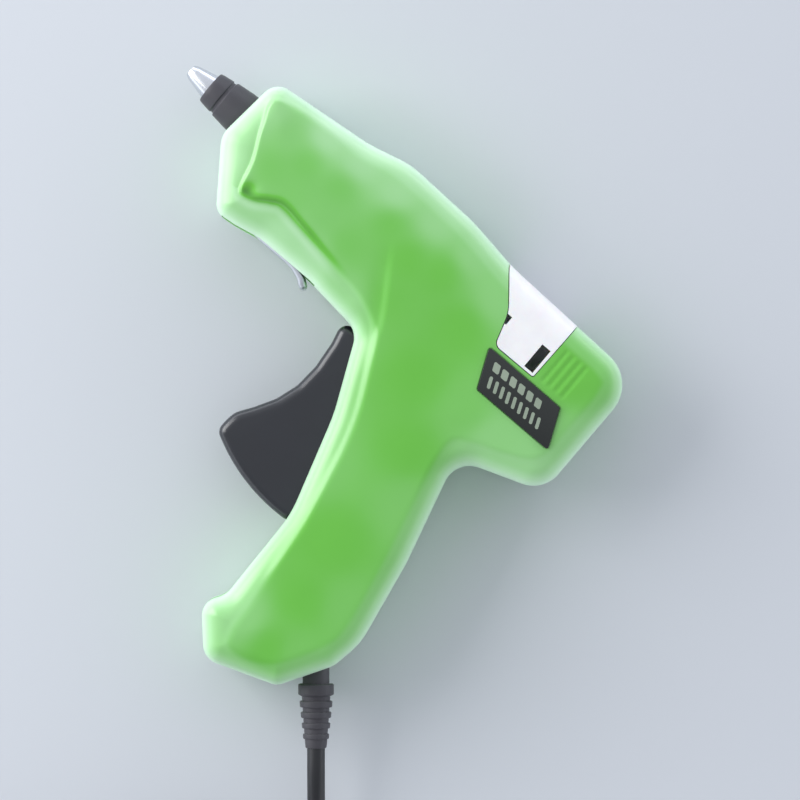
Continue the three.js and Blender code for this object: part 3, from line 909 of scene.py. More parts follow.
HOUSING_OUTLINE: list[Corner] = [
    (20.4, 15.3, 6.4), (58, 19.2, 45), (73, 22.9, 30), (101, 21.7, 60), (121, 18.5, 60),
    (176.9, 16.1, 13), (176.6, -32.2, 11), (147.2, -42.6, 9), (157, -80, 60), (162.4, -110, 26),
    (160.4, -121.5, 8), (150, -138.8, 6), (125.6, -147.6, 7), (112.9, -133.6, 6), (117.6, -126.5, 9),
    (116.9, -92, 40), (106.5, -57.5, 60), (94.5, -31.2, 8), (72, -28.7, 30), (50, -28.6, 20),
    (41, -30.4, 12), (33.2, -31.2, 6.2), (17.9, -10, 9),
]
WINDOW_OUTLINE: list[Corner] = [
    (116.5, 30, 0), (119, 18.2, 10), (129.2, 5.6, 14), (132.6, -5.6, 3), (149.4, -5.6, 1), (150.2, 30, 0),
]
BADGE_OUTLINE: list[Corner] = [
    (131.6, -6.9, 0.8), (162.6, -7.3, 0.8), (168.6, -20.8, 0.8), (137.6, -20.4, 0.8),
]
TRIGGER_PIN = (112.0, -31.0)
RELIEF_BASE = (157.0, -127.0)
EXIT_ANGLE = math.radians(-50)
ALONG = (math.cos(EXIT_ANGLE), math.sin(EXIT_ANGLE))
ACROSS = (-ALONG[1], ALONG[0])


def on_exit(distance: float, sideways: float = 0.0, z: float = 0.0) -> Point:
    """A point on the line by which the lead leaves the handle."""
    return (
        RELIEF_BASE[0] + distance * ALONG[0] + sideways * ACROSS[0],
        RELIEF_BASE[1] + distance * ALONG[1] + sideways * ACROSS[1],
        z,
    )


@dataclass
class HousingForm:
    """The shape of one housing half's face, as a height over the middle plane."""

    edge_depth: float = 7.4
    edge_power: float = 2.1
    crown: float = 0.5
    crown_reach: float = 20.0
    face_drop: float = 0.9
    panel_ramp: float = 1.7
    low_panel_ramp: float = 4.5
    blend_spread: float = 30.0
    crest_rise: float = 0.55
    crest_ramp: float = 3.2
    crest_reach: float = 17.0
    crest_dip: float = 0.15
    hollow_at: tuple[float, float] = (37.2, -18.0)
    hollow_depth: float = 0.8
    cap: tuple[float, float, float, float] = (151.0, 162.5, -5.5, 9.5)
    cap_rib_depth: float = 0.13
    cap_rib_pitch: float = 2.8
    # How much painted highlight the face gets towards the outline, and from how far in.
    rim_highlights_painted: tuple[tuple[float, float], ...] = ((0.28, 5.5), (0.3, 2.6))
    # How much painted highlight (above 0) or painted shadow (below 0) each band along the shadow line adds,
    # and how far above it.
    shadow_bands: tuple[tuple[float, float], ...] = ((-0.55, 0.0), (0.16, -3.0))
    shadow_width: float = 1.3
    shadow_spot: tuple[float, float] = (36.6, -18.4)
    shadow_spot_depth: float = 0.45
    rings: tuple[float, ...] = (0, 0.02, 0.08, 0.18, 0.32, 0.5, 0.72, 1.0, 1.3)
    # Place on the side view and width of the rounded border there.
    borders: tuple[Corner, ...] = (
        (22, 13, 6.0), (23, 2, 9.0), (26, -9, 11.5), (30, -19, 9.5), (36, -25, 9.0), (43, -25, 10.0),
        (52, -23, 11.0), (64, -22, 11.5), (80, -22, 10.5), (94, -25, 8.5), (40, 13, 5.5), (60, 15, 7.0),
        (80, 17, 8.0), (105, 15, 8.0), (150, 12, 8.0), (170, 2, 9.0), (168, -22, 9.0), (157, -33, 9.0),
        (146, -42, 8.5), (103, -50, 7.0), (112, -80, 7.5), (115, -105, 8.0), (122, -125, 8.5),
        (150, -70, 7.5), (157, -105, 7.5), (140, -140, 9.0), (152, -128, 8.0),
    )
    # Place on the side view and how far the panel stands out there.
    rises: tuple[Corner, ...] = (
        (25, 2, 1.05), (32, -10, 1.05), (36, -20, 1.05), (50, -16, 1.0), (75, -18, 0.7), (95, -25, 0.7),
        (105, -38, 0.5), (115, -62, 0.35), (121, -91, 0.35), (124, -118, 0.4), (130, -138, 0.45),
        (40, 13.6, 0.35), (73, 16.6, 0.3), (101, 15, 0.25), (121, 12, 0.1),
        (140, 11, 0.0), (165, 9, 0.15), (169, -8, 0.3),
        (160, -31, 0.55), (145, -38, 0.5), (148, -75, 0.3), (155, -108, 0.3), (146, -132, 0.35),
    )
    # Place on the side view and how much painted light, paler than the middle, the face gets there.
    spots_of_painted_light: tuple[Corner, ...] = (
        (26, 6, 0.3), (36, 4, 0.16), (46, 1, 0.06), (38, -8, 0.08), (50, -12, 0.1), (62, -8, 0.12),
        (60, 2, 0.06), (46, 12, 0.46), (60, 12, 0.42), (76, 12, 0.38), (92, 14, 0.3), (108, 13, 0.24),
        (80, 4, 0.02), (92, -2, 0), (74, -12, 0.06), (96, -16, 0.02), (104, 2, 0), (120, -8, 0),
        (124, 8, 0.2), (120, -30, 0), (140, -28, 0.08), (152, -30, 0.22), (165, -28, 0.24),
        (171, -14, 0.16), (160, 2, 0), (134, -50, 0), (146, -64, 0.1),
        (134, -90, 0), (152, -104, 0.08), (138, -112, 0), (140, -130, 0), (148, -126, 0.08), (127, -128, 0.2),
        (26, -14, 0.3), (40, -26, 0.26), (54, -23, 0.36), (68, -23, 0.36), (84, -26, 0.2), (112, -72, 0.1),
    )
    panel: tuple[tuple[float, float], ...] = (
        (24.6, 10.5), (40, 13.6), (58, 14.0), (73, 16.6), (101, 15.2), (121, 12), (145, 10.2), (165, 9.4),
        (169.2, 5), (169.4, -12), (168, -25), (158, -31.2), (148, -35.2), (142, -41), (146, -62), (151, -84),
        (155.4, -108), (153.6, -119), (144, -134.5), (131, -139.4), (126.4, -134), (125.6, -122), (123, -104),
        (121.2, -91), (119.2, -79), (116.2, -64.8), (112.3, -52.8), (107.3, -42), (102.6, -32.8),
        (97.5, -26.4),
        (88, -21.8), (76, -19.4), (66, -17.6), (58, -16.3), (49, -15.1), (43.6, -17.6),
        (39, -20.6), (34.8, -20.2),
        (31.8, -10), (27, 0.5),
    )
    crest: tuple[tuple[float, float], ...] = (
        (83, 2), (86.5, -3.6), (90, -9.4), (95, -17), (99, -24), (102.6, -32.8), (107.3, -42), (112.3, -52.8),
        (116.2, -64.8), (119.2, -79), (121.2, -91), (123, -104), (125, -118.5),
    )
    # The painted shadow line under the panel, from the nose back.
    shadow: tuple[tuple[float, float], ...] = (
        (36.2, -19.8), (40.4, -18.9), (44.6, -16.4), (49, -14.7), (58, -15.9), (66, -17.2), (76, -19.0),
        (84, -20.8),
    )

    def __post_init__(self) -> None:
        """Draws the outline, the panel's edge and the lines of the crest and the shadow."""
        self.outline = evenly(rounded(HOUSING_OUTLINE, 3), 0.5, True)
        self.panel_line = flowing(self.panel, 0.8, True)
        self.crest_line = flowing(self.crest, 0.8)
        self.shadow_line = flowing(self.shadow, 0.8)
        self.known: dict[tuple[float, float, float], tuple[Array, list[tuple[int, ...]]]] = {}

    def blended(self, xy: Array, known: Sequence[Corner]) -> Array:
        """A smooth field through values that are known at some places."""
        spots = np.array(known)
        gap2 = ((xy[:, None, :] - spots[None, :, :2]) ** 2).sum(2) + self.blend_spread
        weight = gap2**-2
        return (weight * spots[:, 2]).sum(1) / weight.sum(1)

    def panel_depth(self, xy: Array) -> Array:
        """The distance inside the panel's edge, below 0 outside it."""
        far = to_line(xy, self.panel_line, True)[0]
        return np.where(inside(xy, self.panel_line), far, -far)

    def height(self, xy: Array, d: Array) -> Array:
        """The face's height over the middle plane.

        Args:
            xy: Points on the side view.
            d: Their distances from the outline.

        Returns:
            The heights.
        """
        width = self.blended(xy, self.borders)
        t = np.clip(d / width, 0, 1)
        power = self.edge_power
        drop = self.edge_depth * (1 - (1 - (1 - t) ** power) ** (1 / power))
        z = HALF - self.crown - drop + self.crown * smooth(d / self.crown_reach)
        rise = self.blended(xy, self.rises)
        ramp = self.panel_ramp + self.low_panel_ramp * np.maximum(1.0 - rise, 0)
        z += rise * smooth(self.panel_depth(xy) / ramp + 0.5) - self.face_drop
        # The hollow is where the panel's edge turns, low on the nose.
        hollow = -self.hollow_depth * spot_at(xy, self.hollow_at, 8.0)
        return z + self.swoosh(xy, d) + hollow + self.cap_ribs(xy)

    def swoosh(self, xy: Array, d: Array) -> Array:
        """The crest that runs from the barrel down the handle, high on its rear side."""
        far, side, place = to_line(xy, self.crest_line, False)
        s = far * side
        fade = smooth(place / 0.14) * smooth((1 - place) / 0.12) * smooth((d - 1.5) / 4)
        rise = smooth(s / self.crest_ramp + 0.5) * np.exp(-np.maximum(s, 0) / self.crest_reach)
        dip = -self.crest_dip * np.exp(-((s + 3.0) ** 2) / 8.0)
        return fade * (self.crest_rise * rise + dip)

    def light_and_shade_painted(self, xy: Array) -> Array:
        """How much painted highlight (above 0) or painted shade (below 0) the face gets at each point."""
        edge = to_line(xy, self.outline, True)[0]
        pale = self.blended(xy, self.spots_of_painted_light)
        # Painted highlight on the border outside the panel, and on the rims near the outline.
        pale += 0.1 * (1 - smooth(self.panel_depth(xy) / 2.4 + 0.4))
        for amount, reach in self.rim_highlights_painted:
            pale += amount * (1 - smooth(edge / reach))
        # Painted shadow along the line under the panel, a painted highlight band below it, and a painted
        # shadow spot at the hollow.
        far, side, place = to_line(xy, self.shadow_line, False)
        fade = smooth((1 - place) / 0.5)
        for amount, above in self.shadow_bands:
            pale += amount * fade * np.exp(-(((far * side - above) / self.shadow_width) ** 2))
        return pale - self.shadow_spot_depth * spot_at(xy, self.shadow_spot, 5.0)

    def cap_ribs(self, xy: Array) -> Array:
        """Faint upright ribs on the rear cap."""
        x, y = xy[:, 0], xy[:, 1]
        front, rear, low, high = self.cap
        zone = smooth((x - front) / 1.5) * smooth((rear - x) / 1.5)
        zone = zone * smooth((y - low) / 2) * smooth((high - y) / 2)
        return self.cap_rib_depth * zone * (np.cos((x - front) * 2 * math.pi / self.cap_rib_pitch) - 1)

    def solid(
        self, name: str, side: int, bottom: float, spacing: float, inset: float = 0.0
    ) -> Object:
        """A closed body between the middle plane and the face.

        Args:
            name: Its name.
            side: 1 for the gun's left, -1 for its right.
            bottom: How far from the middle plane it starts.
            spacing: The distance between points on the face.
            inset: How far it keeps inside the outline and under the face.

        Returns:
            The solid.
        """
        key = (bottom, spacing, inset)
        if key not in self.known:
            self.known[key] = self.skin(*key)
        points, faces = self.known[key]
        if side < 0:
            points = np.column_stack([points[:, :2], -np.minimum(points[:, 2], HALF)])
            return make_object(name, points, [f[::-1] for f in faces])
        return make_object(name, points, faces)

    def with_rows(self, grid: Array) -> Array:
        """Swaps grid points near the panel's edge for rows that run along it."""
        line = self.panel_line
        normals = inward(line)
        grid = grid[to_line(grid, line, True)[0] > 1.3]
        rows = [line + normals * s for s in (-1.0, -0.65, -0.3, 0.0, 0.3, 0.65, 1.0)]
        return np.vstack([grid, *[evenly(row, 0.55, True) for row in rows]])

    def skin(self, bottom: float, spacing: float, inset: float) -> tuple[Array, list[tuple[int, ...]]]:
        """The points and faces of the left-hand body that solid() returns."""
        fine = spacing < FINE_STEP
        loop = self.outline if fine else evenly(self.outline, spacing, True)
        loop = loop + inward(loop) * inset
        normals = inward(loop)
        n = len(loop)
        rows: list[Array] = []
        chamfer = 0.25
        rows.append(np.column_stack([loop + normals * chamfer, np.full(n, bottom)]))
        wall_top = float(self.height(loop, np.full(n, inset)).min()) - inset
        rows.append(np.column_stack([loop, np.full(n, bottom + chamfer)]))
        rows.append(np.column_stack([loop, np.full(n, (bottom + wall_top) / 2)]))
        rings = (0.0, 0.5, 1.3) if inset else self.rings
        for d in rings:
            ring = loop + normals * d
            rows.append(np.column_stack([ring, self.height(ring, np.full(n, d + inset)) - inset]))
        strip = np.vstack(rows)
        inner = rows[-1][:, :2]
        lo, hi = inner.min(0), inner.max(0)
        pitch = spacing * math.sqrt(3) / 2
        grid = np.array([
            (x + (j % 2) * spacing / 2, y)
            for j, y in enumerate(np.arange(lo[1], hi[1], pitch))
            for x in np.arange(lo[0], hi[0], spacing)
        ])
        if fine:
            grid = self.with_rows(grid)
        grid = grid[inside(grid, inner)]
        d = to_line(grid, loop, True)[0]
        keep = d > self.rings[-1] + 0.6 * spacing
        grid, d = grid[keep], d[keep]
        heights = self.height(grid, d + inset) - inset
        flat = [Vector(p) for p in inner.tolist()] + [Vector(p) for p in grid.tolist()]
        edges = [(i, (i + 1) % n) for i in range(n)]
        _, _, tris, origins, _, _ = delaunay_2d_cdt(flat, edges, [], 1, 1e-7)
        name_of = {i: o[0] for i, o in enumerate(origins)}
        base = len(strip) - n
        tris = [tuple(base + name_of[v] for v in t) for t in tris]
        points = np.vstack([strip, np.column_stack([grid, heights])])
        quads = between_rows(len(rows), n)
        floor_flat = [Vector(p) for p in rows[0][:, :2].tolist()]
        _, _, under, names, _, _ = delaunay_2d_cdt(floor_flat, edges, [], 1, 1e-7)
        under = [tuple(names[v][0] for v in t) for t in under]
        a = points[tris[0][1]] - points[tris[0][0]]
        b = points[tris[0][2]] - points[tris[0][0]]
        if a[0] * b[1] - a[1] * b[0] < 0:
            tris = [t[::-1] for t in tris]
        if area_of(loop) < 0:
            quads = [q[::-1] for q in quads]
        u, v, w = (points[k] for k in under[0])
        if (v - u)[0] * (w - u)[1] - (v - u)[1] * (w - u)[0] > 0:
            under = [t[::-1] for t in under]
        return points, [*quads, *tris, *under]


@dataclass
class Housing(Assembly):
    """Both housing halves, the white insert, the badge and the screws."""

    form: HousingForm = field(default_factory=HousingForm)
    wall: float = 2.4
    face_step: float = 0.55
    badge_floor: float = 16.5
    screw_floor: float = 10.5
    boss_radius: float = 4.6
    recess_radius: float = 3.4
    thread_radius: float = 1.8
    # The painted light and shade start this high above the middle plane and fade in over this height.
    painted_from_height: float = 6.5
    painted_fade_height: float = 2.5
    screws: tuple[tuple[float, float], ...] = (
        (73, 15), (78, -21.6), (158, 11.2), (148, -31.5), (127, -104), (129, -136.5),
    )

    def core(self, name: str, side: int) -> Object:
        """The hollow inside one half, from just past the seam to under the face."""
        return self.form.solid(name, side, -0.4, 1.6, self.wall)

    def openings(self) -> list[Object]:
        """What is cut through the housing: nose, inlet, trigger, stand, lead and insert."""
        reach = 64.6
        arc = [
            (TRIGGER_PIN[0] + reach * math.cos(a), TRIGGER_PIN[1] + reach * math.sin(a))
            for a in np.radians(np.linspace(222, 283, 40))
        ]
        sweep = np.array([*arc, (126.5, -25), (86.8, -25), (86.8, -36)])
        cutters = [
            rod("nose_hole", 8.1, (10, 0, 0), (26, 0, 0)),
            rod("inlet_hole", 8.2, (160, 0, 0), (180, 0, 0), 96),
            prism("trigger_slot", sweep, -8.6, 8.6),
            rod("lead_hole", 4.9, on_exit(-14), on_exit(14)),
            prism("window_hole", rounded(WINDOW_OUTLINE), -HALF - 1, HALF + 1),
        ]
        for z in (-9, 9):
            cutters.append(box("stand_slot", (35.4, -34, z - 1.8), (74, -23.2, z + 1.8)))
        return cutters

    def half(self, name: str, side: int) -> Object:
        """One half shell; side is 1 on the left."""
        shell = self.form.solid(name, side, SEAM, self.face_step)
        combine(shell, Cut.TAKE, self.core("hollow", side), *self.openings())
        if side > 0:
            recess = prism("badge_recess", self.grown(BADGE_OUTLINE, 0.3), self.badge_floor, HALF + 2)
            return combine(shell, Cut.TAKE, recess)
        for x, y in self.screws:
            boss = rod("boss", self.boss_radius, (x, y, -HALF + 1.6), (x, y, -4), 32)
            combine(boss, Cut.KEEP, self.form.solid("boss_limit", side, SEAM, 1.6, 0.3))
            combine(shell, Cut.JOIN, boss)
            recess = rod("recess", self.recess_radius, (x, y, -HALF - 2), (x, y, -self.screw_floor), 32)
            combine(shell, Cut.TAKE, recess)
            combine(shell, Cut.TAKE, rod("thread", self.thread_radius, (x, y, -HALF), (x, y, 0), 20))
        return shell

    def with_painted_light(self, shell: Object) -> Object:
        """Stores the painted light and shade at each vertex of the shell's face, fading out towards the seam.
        """
        mesh = shell.data
        where = np.empty(len(mesh.vertices) * 3)
        mesh.vertices.foreach_get("co", where)
        where = where.reshape(-1, 3) / MM + (DATUM_X, 0, -HALF)
        height = np.abs(where[:, 2])
        shows = height > self.painted_from_height
        pale = np.zeros(len(where))
        fade = smooth((height[shows] - self.painted_from_height) / self.painted_fade_height)
        pale[shows] = self.form.light_and_shade_painted(where[shows, :2]) * fade
        mesh.attributes.new("pale", "FLOAT", "POINT").data.foreach_set("value", pale)
        return shell

    def grown(self, corners: Sequence[Corner], by: float) -> Array:
        """A rounded outline moved out by a distance, or in below 0."""
        loop = rounded(corners, 10)
        return loop - inward(loop) * by

    def insert(self) -> Object:
        """The milky insert that closes the stick channel's opening on both sides."""
        left = self.form.solid("stick_window", 1, 0.0, 0.9)
        right = self.form.solid("window_right", -1, 0.0, 0.9)
        outline = self.grown(WINDOW_OUTLINE, -0.3)
        combine(left, Cut.KEEP, prism("window_cut", outline, 0.0, HALF + 1))
        combine(right, Cut.KEEP, prism("window_cut", outline, -HALF - 1, 0.0))
        combine(left, Cut.TAKE, self.core("hollow_left", 1))
        combine(right, Cut.TAKE, self.core("hollow_right", -1))
        combine(left, Cut.JOIN, right)
        vents = [
            box("vent_rear", (144.6, -4.4, -HALF - 1), (148.2, 5, HALF + 1)),
            box("vent_front", (128.6, 2.2, -HALF - 1), (131.2, 5.4, HALF + 1)),
        ]
        return combine(left, Cut.TAKE, *vents)

    def badge(self) -> Object:
        """The badge plate in its recess."""
        plate = prism("badge", rounded(BADGE_OUTLINE, 15), self.badge_floor + 0.3, HALF + 0.1)
        return softened(plate, 0.25, 2)

    def marks(self) -> Object:
        """A plain pattern on the badge: a row of leaning blocks over a row of thinner bars."""
        base, top = HALF - 0.1, HALF + 0.2
        rows: list[Object] = []
        for left, low, high, wide, pitch, count in (
            (137.4, -12.4, -9.4, 2.6, 3.6, 6), (139.6, -17.9, -14.0, 1.3, 2.6, 9),
        ):
            lean = 0.42 * (high - low)
            right = left + wide
            ends = ((left, low), (right, low), (right - lean, high), (left - lean, high))
            block = [(x, y, 0.5) for x, y in ends]
            first = prism("badge_marks", rounded(block, 20), base, top)
            rows.append(RowOfPieces().repeat(first, (left, low, HALF), (pitch, 0, 0), count, PALE_INK, 0.95))
        return combine(rows[0], Cut.JOIN, rows[1])

    def screw_set(self) -> Object:
        """Six pan-head screws with cross recesses."""
        head = [
            (-2.2, 0, 0), (-2.2, 1.4, 0), (-2.1, 2.2, 0.6), (-1.4, 2.9, 0.7), (0, 2.9, 0.15), (0, 1.5, 0),
            (18.5, 1.5, 0), (19.8, 0.7, 0), (19.8, 0, 0),
        ]
        screw = turned("screw", head, axis=(0, 0, 1), sides=32)
        for x, y in ((1.5, 0.3), (0.3, 1.5)):
            combine(screw, Cut.TAKE, box("drive", (-x, -y, -3), (x, y, -1.0)))
        places = [(x, y, -self.screw_floor - 0.3) for x, y in self.screws]
        return PiecesAtPoints().put("housing_screws", screw, places, SCREW_STEEL, math.pi, 7)

    def build(self) -> None:
        """Builds and dresses every piece of the housing."""
        names = ("nose_top", "nose_bottom", "rear_top", "lobe", "handle", "heel")
        self.settle(self.with_painted_light(self.half("housing_left", 1)), LIME_ABS, ["left_shell"])
        self.settle(self.with_painted_light(self.half("housing_right", -1)), LIME_ABS, ["right_shell"])
        self.settle(self.insert(), MILKY_PP, ["stick_window"])
        self.settle(self.badge(), PLATE_ABS, ["badge"])
        self.settle(self.marks(), PALE_INK)
        self.settle(self.screw_set(), SCREW_STEEL, [f"housing_screw_{n}" for n in names])


@dataclass
class HotEnd(Assembly):
    """The nozzle and its rubber boot."""

    bore: float = 1.0

    def nozzle(self) -> Object:
        """The tip, with its hole and a flat land at the mouth."""
        outer = [
            (-4.5, 0, 0), (-4.5, 2.1, 0.5), (-2.6, 2.9, 0.8), (4.0, 4.5, 1.0), (21, 4.5, 0.2),
            (21, 3.9, 0.2), (35, 3.9, 0.2), (35, 0, 0),
        ]
        inner = [
            (-5, 0, 0), (-5, self.bore, 0), (12, self.bore, 0), (14, 2.7, 0), (31.6, 2.7, 0), (32.6, 1.6, 0),
            (40, 1.6, 0), (40, 0, 0),
        ]
        return combine(turned("nozzle_tip", outer, sides=96), Cut.TAKE, turned("bore", inner, sides=32))

    def boot(self) -> Object:
        """The tapered boot with two shallow steps."""
        outer = [
            (4.2, 0, 0), (4.2, 5.6, 0.6), (5.6, 6.0, 0.3), (9.2, 6.5, 0.3), (9.6, 6.1, 0.2), (10.4, 6.2, 0.2),
            (10.8, 6.9, 0.3), (17, 7.6, 0.6), (23.8, 7.8, 0.2), (23.8, 9.6, 0.4), (26, 9.6, 0.4), (26, 0, 0),
        ]
        return combine(
            turned("nozzle_boot_soft", outer, sides=96), Cut.TAKE,
            rod("boot_bore", 4.8, (4, 0, 0), (27, 0, 0)),
        )

    def build(self) -> None:
        """Builds and dresses the hot end's outer pieces."""
        self.settle(self.nozzle(), TIP_METAL, ["nozzle"])
        self.settle(self.boot(), RUBBER, ["nozzle_boot"])


@dataclass
class Trigger(Assembly):
    """The finger lever with its hub and fork."""

    front: tuple[tuple[float, float], ...] = (
        (88.8, -32.2), (90.6, -39.7), (91.5, -49), (90.9, -57.8), (88.4, -65.6), (84.4, -72.6),
        (80.6, -78.2), (80.1, -82.2),
    )
    half: float = 8.0
    rim: float = 3.2
    tip_radius: float = 3.6
    tip_reach: float = 64.0

    def lever(self) -> Object:
        """The blade with soft edges, joined to its hub and fork."""
        px, py = TRIGGER_PIN
        top, *edge = [(x, y, 8.0) for x, y in self.front]
        arc = [
            (px + self.tip_reach * math.cos(a), py + self.tip_reach * math.sin(a), 50.0)
            for a in np.radians(np.linspace(240, 276, 6))
        ]
        tip, *arc, heel = arc
        back = [(121, -60, 5.0), (118.5, -38, 4.0), (112, -27, 4.0), (100, -28.6, 4.0)]
        turns = [(*corner[:2], self.tip_radius) for corner in (top, tip, heel)]
        outline = evenly(rounded([turns[0], *edge, turns[1], *arc, turns[2], *back], 4), 0.7, True)
        blade = pillow("trigger_lever", outline, self.half, self.rim)
        hub = rod("hub", 6.0, (px, py, -12), (px, py, 12))
        combine(blade, Cut.JOIN, hub)
        for z0, z1 in ((8.9, 11.9), (-11.9, -8.9)):
            arm = box("arm", (px - 5, py, z0), (px + 5, py + 31, z1))
            combine(arm, Cut.TAKE, box("pin_slot", (px - 2.5, -11.7, -20), (px + 2.5, -3.0, 20)))
            combine(blade, Cut.JOIN, arm)
        return combine(blade, Cut.TAKE, rod("hub_bore", 2.3, (px, py, -20), (px, py, 20)))

    def build(self) -> None:
        """Builds and dresses the trigger."""
        self.settle(self.lever(), BLACK_ABS, ["trigger"], Body.TRIGGER)


@dataclass
class Stand(Assembly):
    """The fold-out wire foot."""

    pivot: tuple[float, float] = (41.0, -24.6)
    leg_z: float = 9.0
    stub_end: float = 13.6
    wire: float = 1.3

    def leg(self, side: int) -> list[Point]:
        """One leg's points, from its stub to the cross bar."""
        x, y = self.pivot
        z = side * self.leg_z
        bend = [(46, -27.2), (54, -27.6), (63, -27.8), (68, -29.2)]
        return [
            (x, y, side * self.stub_end), (x, y, side * (self.leg_z + 1.6)), (x + 1.2, y - 0.6, z),
            *[(px, py, z) for px, py in bend],
            (70.4, -30.8, side * (self.leg_z - 0.4)), (71, -31.3, side * (self.leg_z - 2.2)),
        ]

    def build(self) -> None:
        """Builds and dresses the wire."""
        line = flowing([*self.leg(-1), *self.leg(1)[::-1]], 0.8)
        wire = TubeAlongLine().draw("stand_wire", line, self.wire, WIRE_STEEL)
        self.settle(wire, WIRE_STEEL, ["wire_stand"], Body.STAND)


@dataclass
class Lead(Assembly):
    """The mains lead: relief, free stretch, coil, tie and plug."""

    radius: float = 3.0
    relief_length: float = 26.0
    length_m: float = 1.20
    to_coil: float = 68.0
    outer: float = 39.0
    inner: float = 27.0
    turns: float = 1930 / 360
    start_angle: float = 40.0
    low_z: float = -13.6
    layer: float = 6.0
    per_turn: int = 48
    plug_back: float = 144.0
    plug_front: float = 108.0
    plug_half: float = 17.6
    plug_thick: float = 13.7

    def __post_init__(self) -> None:
        """Finds the coil's centre and the plug's height."""
        self.centre = on_exit(self.relief_length + self.to_coil, -self.outer)
        self.plug_y = self.centre[1] - self.outer
        self.plug_z = -HALF + self.plug_thick / 2

    def route(self) -> Array:
        """The line that the lead follows, from inside the relief to the plug."""
        # Distance beyond the relief's tip and height against the seam.
        out = [
            (-2, 0), (5, 0), (9, -0.3), (12.5, -1.1), (16, -2.2), (20, -4.2), (23.5, -6.5), (27, -9.0),
            (31, -11.1), (34.5, -12.4), (38, -13.2), (43, -13.6), (50, -13.6), (57, -13.6), (64, -13.6),
        ]
        free = [on_exit(self.relief_length + s, 0, z) for s, z in out]
        coil: list[Point] = []
        steps = round(self.turns * self.per_turn)
        for k in range(steps + 1):
            turn = self.turns * k / steps
            radii = [self.outer, self.outer, self.inner, self.inner, self.outer]
            radius = np.interp(turn, [0, 0.25, 2.25, 3.11, 5.11], radii)
            z = self.low_z + self.layer * float(smooth((turn - 2.3) / 0.75))
            a = math.radians(self.start_angle) - 2 * math.pi * turn
            coil.append((self.centre[0] + radius * math.cos(a), self.centre[1] + radius * math.sin(a), z))
        tail = [
            (184, -7.6), (180, -7.6), (176, -7.9), (172, -8.8), (168, -9.6), (164.6, -10.0), (161, -10.45),
            (158, -10.65), (155, -10.65),
        ]
        end = [(x, self.plug_y, z) for x, z in tail]
        return flowing([*free, *coil, *end], 1.8)

    def relief(self) -> Object:
        """The tapered boot with ribs that let it bend."""
        length = self.relief_length
        core = turned(
            "relief_core",
            [(-9, 0, 0), (-9, 6.4, 0.4), (-6.4, 6.4, 0.3), (-6.4, 4.5, 0.2), (4.4, 4.5, 0.2), (4.4, 6.0, 0.5),
             (8, 6.0, 0.5), (8.6, 4.8, 0.3), (length - 1.6, 3.7, 0.3), (length, 3.5, 0.4), (length, 0, 0)],
            on_exit(0), (*ALONG, 0.0), 64,
        )
        rib = turned(
            "relief_rib",
            [(-1.1, 0, 0), (-1.1, 5.55, 0.45), (1.1, 5.4, 0.45), (1.1, 0, 0)],
            on_exit(11.2), (*ALONG, 0.0), 64,
        )
        pitch = 3.6
        ribs = RowOfPieces().repeat(
            rib, on_exit(11.2), (ALONG[0] * pitch, ALONG[1] * pitch, 0), 4, RUBBER, 0.8
        )
        combine(core, Cut.JOIN, ribs)
        core.name = "strain_relief_boot"
        return core

    def plug(self) -> Object:
        """The flat two-pin plug's body with its short boot."""
        front, back, wide = self.plug_front, self.plug_back, self.plug_half
        outline = rounded([
            (front, -wide, 4), (front + 13, -wide, 8), (back, -6.5, 4), (back, 6.5, 4),
            (front + 13, wide, 8), (front, wide, 4),
        ], 8)
        outline = outline + np.array((0, self.plug_y))
        low = self.plug_z - self.plug_thick / 2
        body = prism("plug_moulding", outline, low, low + self.plug_thick)
        softened(body, 2.2, 5, 40)
        boot = turned(
            "plug_boot",
            [(-4, 0, 0), (-4, 5.4, 0), (0, 5.3, 0.5), (3, 4.6, 0.4), (3.8, 4.9, 0.3), (5.4, 4.7, 0.3),
             (6.2, 4.2, 0.3), (7.4, 4.5, 0.3), (8.8, 4.3, 0.3), (9.6, 3.9, 0.3), (12, 3.8, 0.4), (12, 0, 0)],
            (back, self.plug_y, self.plug_z),
        )
        return combine(body, Cut.JOIN, boot)

    def grip(self) -> Object:
        """Finger ribs on the plug's upper face."""
        top = self.plug_z + self.plug_thick / 2
        first = box("plug_grip", (115, self.plug_y - 9, top - 0.6), (116.2, self.plug_y + 9, top + 0.35))
        softened(first, 0.3, 2)
        return RowOfPieces().repeat(first, (115, self.plug_y, top), (3.2, 0, 0), 6, BLACK_ABS, 0.8)

    def pin(self, name: str, side: int) -> Object:
        """One plug pin with its insulating sleeve."""
        profile = [
            (0, 0, 0), (0, 1.3, 0), (0.35, 1.75, 0.3), (1.2, 2.0, 0.4), (9, 2.0, 0), (9.1, 1.9, 0),
            (18.9, 1.9, 0), (18.9, 0, 0),
        ]
        made = turned(name, profile, (89, self.plug_y + side * 9.3, self.plug_z), sides=32)
        made.data.materials.append(PIN_NICKEL.material())
        made.data.materials.append(BLACK_ABS.material())
        sleeve_x = (98.05 - DATUM_X) * MM
        for face in made.data.polygons:
            face.material_index = int(face.center.x > sleeve_x)
        return made

